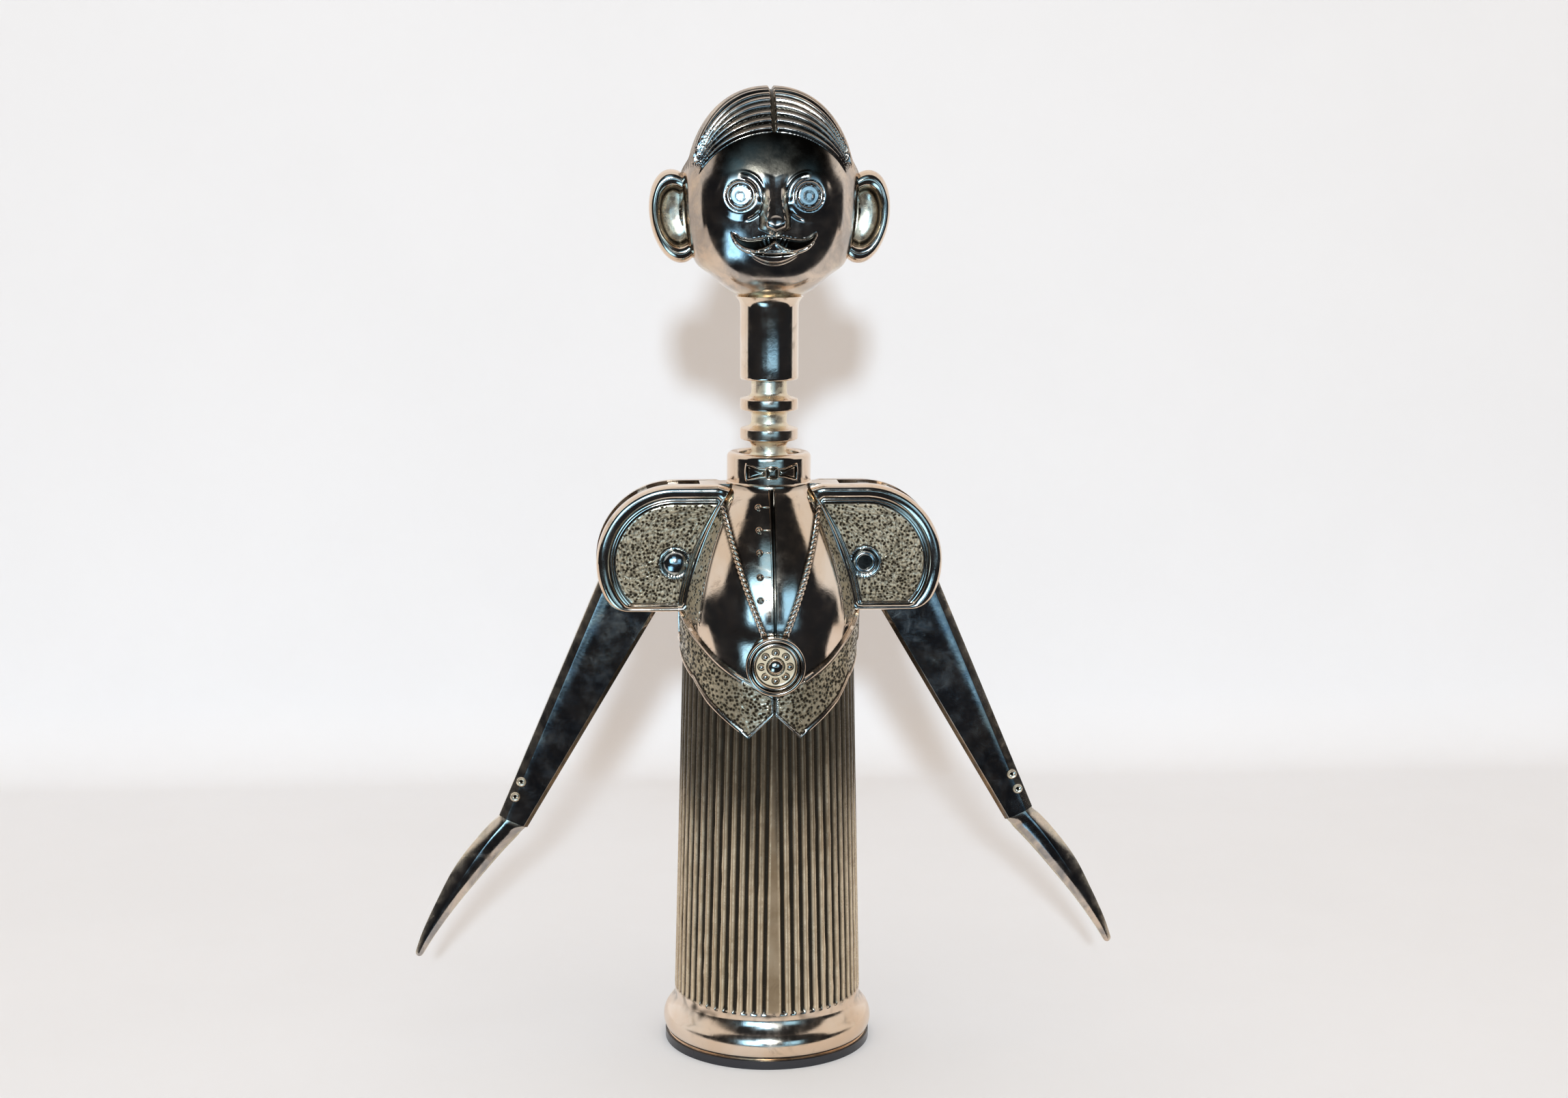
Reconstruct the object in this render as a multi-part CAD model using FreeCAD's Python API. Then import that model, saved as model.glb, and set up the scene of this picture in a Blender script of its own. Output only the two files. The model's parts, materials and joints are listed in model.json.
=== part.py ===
import FreeCAD, Part
import math
import os
from FreeCAD import Rotation, Vector

# Double-lever (wing) corkscrew shaped as a wine waiter. The trousers are the barrel that stands on
# the bottle, the torso carries the two lever pivots, and the head is the turning handle.
# The frame is +Z up, with the waiter facing -Y and the origin in the middle of the foot.
# All sizes are millimetres and degrees.

# ---- Foot, barrel and torso ------------------------------------------------------------------
foot_step = 0.4
foot_height = 2.0
base_ring_radius = 25.4
base_ring_height = 10.6
base_ring_round = 0.7
base_ring_bulge_rise = 2.8
base_ring_cove_rise = 6.1
base_ring_cove_end_rise = 8.9
base_ring_cove_radius = 23.6
barrel_radius = 22.65
barrel_height = 93.0
waist_radius = 20.6
chest_radius = 21.4
chest_rise = 10.5
upper_chest_radius = 19.9
upper_chest_rise = 20.0
throat_radius = 16.3
throat_rise = 30.2
torso_height = 42.5
collar_radius = 10.0
collar_height = 7.3
collar_round = 1.8
collar_mouth_radius = 7.2
hem_relief = 0.7
hem_flare = 0.45

# ---- Hollow inside the barrel, and the plastic bottle guide in it ------------------------------
chamber_radius = 18.0
chamber_roof_rise = 2.0
seat_fit = 0.05
bottle_bore_radius = 15.5
bottle_bore_length = 37.0
bottle_lead_in = 1.5
bottle_stop_radius = 12.5
bottle_stop_height = 3.0

# ---- Waistcoat hem, drawn on the front ----------------------------------------------------------
hem_side_low = -5.0
hem_side_high = 8.0
hem_centre_high = -5.0
hem_point_low = -15.2
hem_point_offset = 5.9
hem_notch = -9.5

# ---- Medallion and bow tie ----------------------------------------------------------------------
medallion_rise = 2.5
medallion_radius = 6.9
medallion_standoff = 4.4
medallion_thickness = 2.9
medallion_rim_width = 1.5
medallion_rim_round = 0.6
medallion_dish_depth = 1.3
medallion_dome_radius = 1.9
medallion_boss_radius = 6.3
bow_rise = 3.3
bow_width = 12.2
bow_height = 4.4
bow_knot = 3.1
bow_relief = 0.9
bow_wing_relief = 0.55
bow_pinch = 1.7

# ---- Gearing: round rack on the spindle, toothed sector on each lever ---------------------------
gear_module = 2.25
gear_teeth = 15
pressure_angle = 20.0
rack_tip_radius = 6.9
rack_core_radius = 4.2
rack_pitch_line = 5.675
sector_addendum = 1.3
sector_root_clearance = 0.25
gear_backlash = 0.12
rack_travel_down = 33.5
rack_travel_up = 4.1
spare_rings = 1.5

# ---- Shoulders, pivots and levers ---------------------------------------------------------------
shoulder_radius = 18.6
shoulder_half_depth = 6.7
shoulder_drop = 11.7
shoulder_corner = 6.0
panel_inset = 4.4
panel_inset_bottom = 1.9
panel_depth = 0.7
panel_chest_gap = 1.6
lever_thickness = 5.4
washer_thickness = 0.5
washer_radius = 4.0
side_clearance = 0.05
tip_clearance = 0.3
arm_swing_inset = 6.0
rivet_radius = 2.0
rivet_head_radius = 3.0
rivet_head_height = 1.3
rivet_roll_radius = 2.6
rivet_roll_height = 0.8
rivet_hollow_radius = 1.7
rivet_hollow_depth = 5.0
running_clearance = 0.05
arm_outer_offset = 14.77
arm_outer_angle = 23.06
arm_inner_offset = 2.4
arm_inner_angle = 30.66
arm_outer_length = 73.6
arm_inner_length = 74.1

# Hand centre line from the cuff to the finger tip: distance beyond the cuff along the sleeve,
# sideways shift outward, and half the width there.
hand_line = [(7.7, 2.3, 3.55), (17.0, 4.3, 3.25), (26.4, 5.4, 2.3), (34.9, 5.9, 1.5), (39.9, 5.8, 0.95)]

# ---- Spindle: neck rings, sleeve, worm ----------------------------------------------------------
neck_gap = 17.2
top_ring_drop = 5.8
sleeve_length = 18.7
sleeve_flare = 0.9
sleeve_flare_height = 2.4
sleeve_flare_bend = 0.27
sleeve_flare_bend_drop = 0.96
sleeve_step = 4.0
stud_radius = 3.0
stud_reach = 14.0
land_radius = 5.6
land_length = 6.5
guide_bush_wall = 1.2
guide_bush_length = 9.5
guide_bush_drop = 2.3
snap_bead = 0.4
snap_bead_width = 1.6
snap_bead_rise = 2.0
worm_radius = 4.5
worm_wire_radius = 1.5
worm_pitch = 9.5
worm_tip_clearance = 1.5
worm_point_radius = 0.25
worm_taper_turns = 0.75
worm_run_in = 6.0
worm_run_in_turns = 0.375
worm_neck_length = 1.0
worm_collar_length = 1.5
worm_collar_overlap = 2.4
worm_shank_radius = 2.3
worm_shank_reach = 12.0
pin_radius = 1.0
pin_fit = 0.02
pin_sink = 0.2

# ---- Head ---------------------------------------------------------------------------------------
head_radius = 19.3
head_height = 51.0
head_crown_share = 0.51
head_squareness_ratio = 2.2
head_wall = 2.5
head_sink = 1.7
head_seam = 5.0
head_boss_radius = 6.5
head_pin_radius = 1.25
head_pin_rise = 5.5
head_pin_run = 0.9
ear_offset = 22.3
ear_half_width = 6.4
ear_front = 2.2
ear_back = 2.6
ear_half_height = 10.9
ear_drop = 3.4
ear_lean = 6.0
ear_rim = 2.0
nose_length = 11.0
nose_bridge_radius = 1.6
nose_tip_radius = 3.1
nose_root_radius = 2.5
nose_reach = 1.6
nose_drop = 5.0
moustache_half = 5.4
moustache_offset = 4.9
moustache_sink = 1.5
moustache_thickness = 1.6
moustache_drop = 9.3
moustache_lift = 12.0

# ---- Radii and heights that follow --------------------------------------------------------------
foot_radius = base_ring_radius - foot_step
medallion_front = waist_radius + medallion_standoff
waist_z = foot_height + barrel_height
shoulder_top_z = waist_z + torso_height
collar_top_z = shoulder_top_z + collar_height
sleeve_bottom_z = collar_top_z + neck_gap
sleeve_top_z = sleeve_bottom_z + sleeve_length
head_bottom_z = sleeve_top_z - head_sink
head_top_z = head_bottom_z + head_height
head_centre_z = head_top_z - head_height * head_crown_share
medallion_z = waist_z + medallion_rise

# ---- Gearing that follows -----------------------------------------------------------------------
pitch_radius = gear_module * gear_teeth / 2.0
ring_pitch = math.pi * gear_module
tooth_step = 360.0 / gear_teeth
pivot_x = pitch_radius + rack_pitch_line
pivot_z = shoulder_top_z - shoulder_radius
sector_tip_radius = pitch_radius + sector_addendum
sector_root_radius = pivot_x - rack_tip_radius - sector_root_clearance
slot_radius = sector_tip_radius + tip_clearance
slot_half = lever_thickness / 2.0 + washer_thickness + 2.0 * side_clearance
top_ring_z = sleeve_bottom_z - top_ring_drop
lowest_mesh_z = pivot_z - rack_travel_up - spare_rings * ring_pitch
ring_count = math.ceil((top_ring_z - lowest_mesh_z) / ring_pitch) + 1
lowest_ring_z = top_ring_z - (ring_count - 1) * ring_pitch
panel_y = shoulder_half_depth - panel_depth

# ---- Fits that follow ---------------------------------------------------------------------------
bush_inner_radius = rack_tip_radius + running_clearance
bush_outer_radius = bush_inner_radius + guide_bush_wall
rack_bore_radius = bush_outer_radius + running_clearance
bush_top_z = collar_top_z - guide_bush_drop
bush_bottom_z = bush_top_z - guide_bush_length
chamber_roof_z = waist_z + chamber_roof_rise
guide_top_z = bottle_bore_length + bottle_stop_height
worm_tip_z = guide_top_z + worm_tip_clearance

AXIS_Z = Vector(0, 0, 1)
AXIS_Y = Vector(0, 1, 0)
ORIGIN = Vector(0, 0, 0)
OVERCUT = 5.0
SMALLEST_ROUND = 0.5
STEPS_PER_TURN = 12
FLANK_POINTS = 5
QUARTER_POINTS = 6


def at_xz(x, z):
    """A point of the plane that cuts the waiter into front and back."""
    return Vector(x, 0, z)


def polyline(points):
    """Straight edges through the points."""
    return [Part.LineSegment(a, b).toShape() for a, b in zip(points, points[1:])]


def arc(start, middle, end):
    """One circular edge through three points."""
    return Part.Arc(start, middle, end).toShape()


def smooth(points, first=None, last=None):
    """One smooth edge through the points, with its end directions where they matter."""
    curve = Part.BSplineCurve()
    if first is None:
        curve.interpolate(Points=points)
    else:
        curve.interpolate(Points=points, InitialTangent=first, FinalTangent=last)
    return curve.toShape()


def face_of(edges):
    """The flat face inside a closed ring of edges."""
    return Part.Face(Part.Wire(Part.__sortEdges__(edges)))


def turned(edges):
    """A solid of revolution about the spindle axis."""
    return face_of(edges).revolve(ORIGIN, AXIS_Z, 360)


def turned_polygon(points):
    """A solid of revolution from the corners of its half section."""
    return turned(polyline(points + points[:1]))


def disc(radius, z_low, z_high):
    """A round bar about the spindle axis."""
    return Part.makeCylinder(radius, z_high - z_low, at_xz(0, z_low), AXIS_Z)


def cross_disc(radius, x, z, y_low, y_high):
    """A round bar that runs from front to back."""
    return Part.makeCylinder(radius, y_high - y_low, Vector(x, y_low, z), AXIS_Y)


def plate(face, half_depth):
    """A flat face made into a plate that is centred between front and back."""
    solid = face.extrude(Vector(0, 2.0 * half_depth, 0))
    solid.translate(Vector(0, -half_depth, 0))
    return solid


def oval_plate(centre, half_width, half_height, lean, y_low, y_high):
    """An oval plate that leans in the frontal plane and runs from one depth to another."""
    long_way = Vector(math.sin(math.radians(lean)), 0, math.cos(math.radians(lean)))
    wide_way = Vector(long_way.z, 0, -long_way.x)
    base = centre + Vector(0, y_low, 0)
    oval = Part.Ellipse(base + long_way * half_height, base + wide_way * half_width, base)
    return Part.Face(Part.Wire(oval.toShape())).extrude(Vector(0, y_high - y_low, 0))


def spindle_shape(centre, half_length, radius, lift):
    """A body of revolution with pointed-oval section whose right end is lifted."""
    ends = [Vector(-half_length, 0, 0), Vector(half_length, 0, 0)]
    oval = Part.Ellipse(ends[1], Vector(0, 0, radius), Vector(0, 0, 0))
    half = Part.ArcOfEllipse(oval, 0.0, math.pi).toShape()
    solid = face_of([half] + polyline(ends)).revolve(ORIGIN, Vector(1, 0, 0), 360)
    solid.rotate(ORIGIN, AXIS_Y, -lift)
    solid.translate(centre)
    return solid


def mirrored(shape):
    """The same piece on the other side of the waiter."""
    return shape.mirror(ORIGIN, Vector(1, 0, 0))


# ---- Body casting -------------------------------------------------------------------------------

def body_outside():
    """Base ring, tapered barrel, egg-shaped chest and collar as one turned outside."""
    ring_top = foot_height + base_ring_height
    ring_low = at_xz(base_ring_radius - base_ring_round, foot_height)
    ring_mid = at_xz(base_ring_radius - base_ring_round, foot_height + base_ring_cove_rise)
    ring_end = at_xz(barrel_radius, ring_top)
    bulge = at_xz(base_ring_radius, foot_height + base_ring_bulge_rise)
    cove = at_xz(base_ring_cove_radius, foot_height + base_ring_cove_end_rise)
    waist = at_xz(waist_radius, waist_z)
    chest_points = [
        waist,
        at_xz(chest_radius, waist_z + chest_rise),
        at_xz(upper_chest_radius, waist_z + upper_chest_rise),
        at_xz(throat_radius, waist_z + throat_rise),
        at_xz(collar_radius, shoulder_top_z),
    ]
    collar_edge = at_xz(collar_radius, collar_top_z - collar_round)
    collar_rim = at_xz(collar_radius - collar_round, collar_top_z)
    bend = collar_round * (1.0 - math.sqrt(0.5))
    collar_bend = at_xz(collar_radius - bend, collar_top_z - bend)
    edges = [
        arc(ring_low, bulge, ring_mid),
        arc(ring_mid, cove, ring_end),
        smooth(chest_points),
        arc(collar_edge, collar_bend, collar_rim),
    ]
    edges += polyline([ring_end, waist])
    edges += polyline([chest_points[-1], collar_edge])
    edges += polyline([collar_rim, at_xz(0, collar_top_z), at_xz(0, foot_height), ring_low])
    return turned(edges)


def hem_band():
    """The raised lower edge of the waistcoat, with two points and a notch in front."""
    side = base_ring_radius + OVERCUT
    ring = turned_polygon([
        at_xz(0, waist_z + hem_point_low - OVERCUT),
        at_xz(waist_radius + hem_relief + hem_flare, waist_z + hem_point_low - OVERCUT),
        at_xz(waist_radius + hem_relief, waist_z),
        at_xz(chest_radius + hem_relief, waist_z + chest_rise),
        at_xz(0, waist_z + chest_rise),
    ])
    low_side = waist_z + hem_side_low
    high_side = waist_z + hem_side_high
    front_low = [
        at_xz(-side, low_side),
        at_xz(-waist_radius, low_side),
        at_xz(-hem_point_offset, waist_z + hem_point_low),
        at_xz(0, waist_z + hem_notch),
        at_xz(hem_point_offset, waist_z + hem_point_low),
        at_xz(waist_radius, low_side),
        at_xz(side, low_side),
        at_xz(side, high_side),
        at_xz(waist_radius, high_side),
    ]
    curve = arc(
        front_low[-1],
        at_xz(0, waist_z + hem_centre_high),
        at_xz(-waist_radius, high_side),
    )
    closing = polyline([at_xz(-waist_radius, high_side), at_xz(-side, high_side), front_low[0]])
    front = face_of(polyline(front_low) + [curve] + closing).extrude(Vector(0, -side, 0))
    back = face_of(polyline([
        at_xz(-side, low_side),
        at_xz(side, low_side),
        at_xz(side, high_side),
        at_xz(-side, high_side),
        at_xz(-side, low_side),
    ])).extrude(Vector(0, side, 0))
    return ring.common(front).fuse(ring.common(back))


def shoulder_face(inset, inset_bottom, inner_x_top, inner_x_bottom):
    """Outline of one shoulder: a round end about the pivot, a flat bottom and a rounded corner."""
    radius = shoulder_radius - inset
    corner = max(shoulder_corner - inset, SMALLEST_ROUND)
    top_z = pivot_z + radius
    bottom_z = pivot_z - shoulder_drop + inset_bottom
    corner_z = bottom_z + corner
    corner_x = pivot_x + math.sqrt((radius - corner) ** 2 - (corner_z - pivot_z) ** 2)
    reach = radius / (radius - corner)
    meet = at_xz(pivot_x + (corner_x - pivot_x) * reach, pivot_z + (corner_z - pivot_z) * reach)
    meet_angle = math.atan2(meet.z - pivot_z, meet.x - pivot_x)
    half_way = math.radians(45.0) + 0.5 * meet_angle
    middle = at_xz(pivot_x + radius * math.cos(half_way), pivot_z + radius * math.sin(half_way))
    corner_turn = 0.5 * (meet_angle - math.radians(90.0))
    corner_middle = at_xz(
        corner_x + corner * math.cos(corner_turn),
        corner_z + corner * math.sin(corner_turn),
    )
    top = at_xz(pivot_x, top_z)
    bottom = at_xz(corner_x, bottom_z)
    edges = [arc(top, middle, meet), arc(meet, corner_middle, bottom)]
    edges += polyline([bottom, at_xz(inner_x_bottom, bottom_z), at_xz(inner_x_top, top_z), top])
    return face_of(edges)


def shoulder_cheeks():
    """Both shoulder plates with a sunk panel in front and behind."""
    right = plate(shoulder_face(0.0, 0.0, 0.0, 0.0), shoulder_half_depth)
    inner_top = collar_radius + 2.0 * panel_chest_gap
    inner_bottom = upper_chest_radius + panel_chest_gap
    panel = shoulder_face(panel_inset, panel_inset_bottom, inner_top, inner_bottom)
    for side in (-1, 1):
        pocket = panel.extrude(Vector(0, side * OVERCUT, 0))
        pocket.translate(Vector(0, side * panel_y, 0))
        right = right.cut(pocket)
    return right.fuse(mirrored(right))


def lever_slot():
    """Room for a toothed sector and for the arm that leaves the shoulder."""
    sector_room = cross_disc(slot_radius, pivot_x, pivot_z, -slot_half, slot_half)
    reach = shoulder_radius + OVERCUT
    arm_room = Part.makeBox(
        reach, 2.0 * slot_half, 2.0 * reach,
        Vector(pivot_x, -slot_half, pivot_z - reach),
    )
    raised_arm_room = Part.makeBox(
        arm_swing_inset, 2.0 * slot_half, reach,
        Vector(pivot_x - arm_swing_inset, -slot_half, pivot_z),
    )
    return sector_room.fuse(arm_room).fuse(raised_arm_room)


def bow_tie():
    """Two wings and a knot on the front of the collar."""
    middle_z = shoulder_top_z + bow_rise
    half_wing = 0.5 * bow_height
    half_knot = 0.5 * bow_knot
    pinch = 0.5 * bow_pinch
    wings = face_of(polyline([
        at_xz(-0.5 * bow_width, middle_z - half_wing),
        at_xz(0, middle_z - pinch),
        at_xz(0.5 * bow_width, middle_z - half_wing),
        at_xz(0.5 * bow_width, middle_z + half_wing),
        at_xz(0, middle_z + pinch),
        at_xz(-0.5 * bow_width, middle_z + half_wing),
        at_xz(-0.5 * bow_width, middle_z - half_wing),
    ])).extrude(Vector(0, -(collar_radius + bow_relief), 0))
    wings = wings.common(disc(collar_radius + bow_wing_relief, shoulder_top_z, collar_top_z))
    knot = Part.makeBox(
        bow_knot, collar_radius + bow_relief, bow_knot,
        Vector(-half_knot, -(collar_radius + bow_relief), middle_z - half_knot),
    )
    return wings.fuse(knot)


def body_casting():
    """Barrel, torso, collar and shoulders in one casting, bored for the spindle and the guide."""
    body = body_outside().fuse(hem_band())
    body = body.fuse(shoulder_cheeks())
    body = body.fuse(bow_tie())
    boss_back = -(medallion_front - medallion_thickness)
    body = body.fuse(cross_disc(medallion_boss_radius, 0, medallion_z, boss_back, -chamber_radius))
    body = body.cut(disc(chamber_radius, foot_height - OVERCUT, chamber_roof_z))
    body = body.cut(disc(rack_bore_radius, chamber_roof_z - OVERCUT, bush_top_z + side_clearance))
    body = body.cut(disc(collar_mouth_radius, chamber_roof_z, collar_top_z + OVERCUT))
    groove_z = bush_bottom_z + snap_bead_rise
    groove_half = 0.5 * snap_bead_width + side_clearance
    groove_radius = rack_bore_radius + snap_bead
    body = body.cut(disc(groove_radius, groove_z - groove_half, groove_z + groove_half))
    slot = lever_slot()
    body = body.cut(slot)
    body = body.cut(mirrored(slot))
    hole_radius = rivet_radius + running_clearance
    for x in (-pivot_x, pivot_x):
        body = body.cut(cross_disc(hole_radius, x, pivot_z, -foot_radius, foot_radius))
    return body.removeSplitter()


def bottle_guide():
    """Plastic foot flange and sleeve that centre the barrel on the bottle's mouth."""
    outer = chamber_radius - seat_fit
    return turned_polygon([
        at_xz(bottle_bore_radius + bottle_lead_in, 0),
        at_xz(foot_radius, 0),
        at_xz(foot_radius, foot_height),
        at_xz(outer, foot_height),
        at_xz(outer, guide_top_z),
        at_xz(bottle_stop_radius, guide_top_z),
        at_xz(bottle_stop_radius, bottle_bore_length),
        at_xz(bottle_bore_radius, bottle_bore_length),
        at_xz(bottle_bore_radius, bottle_lead_in),
    ])


def tastevin_medallion():
    """Round dished badge with a rolled rim, a centre dome and a ring of beads."""
    back_y = -(medallion_front - medallion_thickness)
    rim_inner = medallion_radius - medallion_rim_width
    badge = cross_disc(medallion_radius, 0, medallion_z, -medallion_front, back_y)
    floor_y = -(medallion_front - medallion_dish_depth)
    badge = badge.cut(cross_disc(rim_inner, 0, medallion_z, -medallion_front - OVERCUT, floor_y))
    badge = badge.makeFillet(medallion_rim_round, [
        edge for edge in badge.Edges
        if abs(edge.BoundBox.YMin + medallion_front) < 0.01 and edge.BoundBox.YLength < 0.01
    ])
    dome = Part.makeSphere(medallion_dome_radius, Vector(0, floor_y, medallion_z))
    dome = dome.common(cross_disc(rim_inner, 0, medallion_z, -medallion_front, floor_y))
    return badge.fuse(dome)


# ---- Pivots -------------------------------------------------------------------------------------

def pivot_rivet(x, head_side):
    """Tubular rivet with a domed head on one side of the shoulder and a rolled end on the other."""
    shank = cross_disc(rivet_radius, x, pivot_z, -panel_y, panel_y)
    dome_radius = (rivet_head_radius ** 2 + rivet_head_height ** 2) / (2.0 * rivet_head_height)
    dome_y = panel_y + rivet_head_height - dome_radius
    dome = Part.makeSphere(dome_radius, Vector(x, dome_y, pivot_z))
    cap = cross_disc(rivet_head_radius, x, pivot_z, panel_y, panel_y + rivet_head_height)
    roll_end = -(panel_y + rivet_roll_height)
    roll = cross_disc(rivet_roll_radius, x, pivot_z, roll_end, -panel_y)
    hollow = cross_disc(rivet_hollow_radius, x, pivot_z, roll_end - OVERCUT, roll_end + rivet_hollow_depth)
    rivet = shank.fuse(cap.common(dome)).fuse(roll).cut(hollow)
    if head_side < 0:
        rivet.rotate(at_xz(x, pivot_z), AXIS_Z, 180)
    return rivet


def pivot_washers():
    """Four thin washers that keep the levers off the cheeks."""
    near_y = lever_thickness / 2.0 + side_clearance
    washers = []
    for x in (-pivot_x, pivot_x):
        for low_y in (-near_y - washer_thickness, near_y):
            high_y = low_y + washer_thickness
            ring = cross_disc(washer_radius, x, pivot_z, low_y, high_y)
            hole = cross_disc(rivet_radius + running_clearance, x, pivot_z, low_y, high_y)
            washers.append(ring.cut(hole))
    return Part.makeCompound(washers)


# ---- Levers -------------------------------------------------------------------------------------

def polar(radius, angle):
    """A point about the right pivot, in the frontal plane."""
    turn = math.radians(angle)
    return at_xz(pivot_x + radius * math.cos(turn), pivot_z + radius * math.sin(turn))


def involute_flank(base_radius, tip_radius):
    """Radius and turn, in degrees, along one involute flank from its base to its tip."""
    steps = []
    low = max(base_radius, sector_root_radius)
    for index in range(FLANK_POINTS):
        radius = low + (tip_radius - low) * index / (FLANK_POINTS - 1)
        roll = math.acos(base_radius / radius)
        steps.append((radius, math.degrees(math.tan(roll) - roll)))
    return steps


def sector_edges():
    """Involute teeth from the lowest to the highest one that the travel needs."""
    base_radius = pitch_radius * math.cos(math.radians(pressure_angle))
    flank = involute_flank(base_radius, sector_tip_radius)
    pressure = math.radians(pressure_angle)
    thickness = 0.5 * ring_pitch - 0.5 * gear_backlash
    half_base = math.degrees(0.5 * thickness / pitch_radius + math.tan(pressure) - pressure)
    ring_lift = (top_ring_z - pivot_z) % ring_pitch
    first_space = 180.0 - math.degrees(ring_lift / pitch_radius)
    reach_down = math.degrees(rack_travel_up / pitch_radius)
    reach_up = math.degrees(rack_travel_down / pitch_radius)
    low_centre = first_space + 0.5 * tooth_step
    while low_centre < 180.0 + reach_down + 0.5 * tooth_step:
        low_centre += tooth_step
    count = math.ceil((low_centre - 180.0 + reach_up) / tooth_step) + 1
    centres = [low_centre - tooth_step * index for index in range(count)]
    edges = []
    last = None
    for centre in reversed(centres):
        rising = [polar(radius, centre - half_base + turn) for radius, turn in flank]
        falling = [polar(radius, centre + half_base - turn) for radius, turn in reversed(flank)]
        root_in = polar(sector_root_radius, centre - half_base)
        root_out = polar(sector_root_radius, centre + half_base)
        if last is not None:
            space_middle = polar(sector_root_radius, centre - 0.5 * tooth_step)
            edges.append(arc(last, space_middle, root_in))
        edges += polyline([root_in, rising[0]])
        edges.append(smooth(rising))
        edges.append(arc(rising[-1], polar(sector_tip_radius, centre), falling[0]))
        edges.append(smooth(falling))
        edges += polyline([falling[-1], root_out])
        last = root_out
    start = centres[-1] - half_base
    return edges, start, last


def right_lever_face():
    """Side view of the right lever: toothed sector, tapered sleeve and curved hand."""
    outer_turn = math.radians(arm_outer_angle)
    inner_turn = math.radians(arm_inner_angle)
    outer_along = Vector(math.sin(outer_turn), 0, -math.cos(outer_turn))
    inner_along = Vector(math.sin(inner_turn), 0, -math.cos(inner_turn))
    pivot = at_xz(pivot_x, pivot_z)
    shoulder_out = polar(arm_outer_offset, arm_outer_angle)
    inner_normal = Vector(-math.cos(inner_turn), 0, -math.sin(inner_turn))
    inner_start = pivot + inner_normal * arm_inner_offset
    cuff_out = shoulder_out + outer_along * arm_outer_length
    cuff_in = inner_start + inner_along * arm_inner_length
    along = (outer_along + inner_along).normalize()
    across = Vector(-along.z, 0, along.x)
    cuff_middle = (cuff_out + cuff_in) * 0.5
    outer_hand = [cuff_out]
    inner_hand = [cuff_in]
    for distance, shift, half_width in hand_line:
        middle = cuff_middle + along * distance + across * shift
        outer_hand.append(middle + across * half_width)
        inner_hand.append(middle - across * half_width)
    finger_tip = cuff_middle + along * (hand_line[-1][0] + hand_line[-1][2]) + across * hand_line[-1][1]
    edges, start, last = sector_edges()
    hub_start = polar(sector_root_radius, start)
    hub_join = polar(arm_outer_offset, start)
    hub_middle = polar(arm_outer_offset, 0.5 * (start + arm_outer_angle))
    edges += polyline([hub_join, hub_start])
    edges.append(arc(shoulder_out, hub_middle, hub_join))
    edges += polyline([shoulder_out, cuff_out])
    edges.append(smooth(outer_hand))
    edges.append(arc(outer_hand[-1], finger_tip, inner_hand[-1]))
    edges.append(smooth(inner_hand))
    armpit_z = pivot_z - shoulder_drop + panel_depth
    armpit = inner_start + inner_along * ((inner_start.z - armpit_z) / math.cos(inner_turn))
    edges += polyline([cuff_in, armpit, last])
    return face_of(edges)


def right_lever():
    """The right arm: flat casting with the gear sector inside the shoulder."""
    lever = plate(right_lever_face(), lever_thickness / 2.0)
    bore = cross_disc(rivet_radius + running_clearance, pivot_x, pivot_z, -foot_radius, foot_radius)
    return lever.cut(bore)


# ---- Spindle ------------------------------------------------------------------------------------

def collar_guide_bush():
    """Plastic bush that snaps into the collar, turns in it and guides the neck rings."""
    bush = disc(bush_outer_radius, bush_bottom_z, bush_top_z)
    bead_z = bush_bottom_z + snap_bead_rise
    bead_half = 0.5 * snap_bead_width
    bead_radius = bush_outer_radius + snap_bead
    bush = bush.fuse(disc(bead_radius, bead_z - bead_half, bead_z + bead_half))
    return bush.cut(disc(bush_inner_radius, bush_bottom_z - OVERCUT, bush_top_z + OVERCUT))


def ring_corners(centre_z):
    """Half section of one rack ring from its lower root to its upper root."""
    slope = math.tan(math.radians(pressure_angle))
    half_pitch_line = 0.25 * ring_pitch - 0.25 * gear_backlash
    half_tip = half_pitch_line - (rack_tip_radius - rack_pitch_line) * slope
    half_root = half_pitch_line + (rack_pitch_line - rack_core_radius) * slope
    return [
        at_xz(rack_core_radius, centre_z - half_root),
        at_xz(rack_tip_radius, centre_z - half_tip),
        at_xz(rack_tip_radius, centre_z + half_tip),
        at_xz(rack_core_radius, centre_z + half_root),
    ]


land_top_z = lowest_ring_z - 0.5 * ring_pitch
land_bottom_z = land_top_z - land_length
pin_z = land_bottom_z + 0.5 * land_length
shank_top_z = land_bottom_z + worm_shank_reach
coil_top_z = land_bottom_z - worm_run_in - worm_neck_length
step_z = sleeve_bottom_z + sleeve_step
stud_top_z = sleeve_top_z + stud_reach
head_pin_z = sleeve_top_z + head_pin_rise


def worm_pin_hole():
    """Room for the cross pin, through the land and the shank inside it."""
    return Part.makeCylinder(
        pin_radius + pin_fit, 4.0 * land_radius, Vector(-2.0 * land_radius, 0, pin_z), Vector(1, 0, 0),
    )


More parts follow.
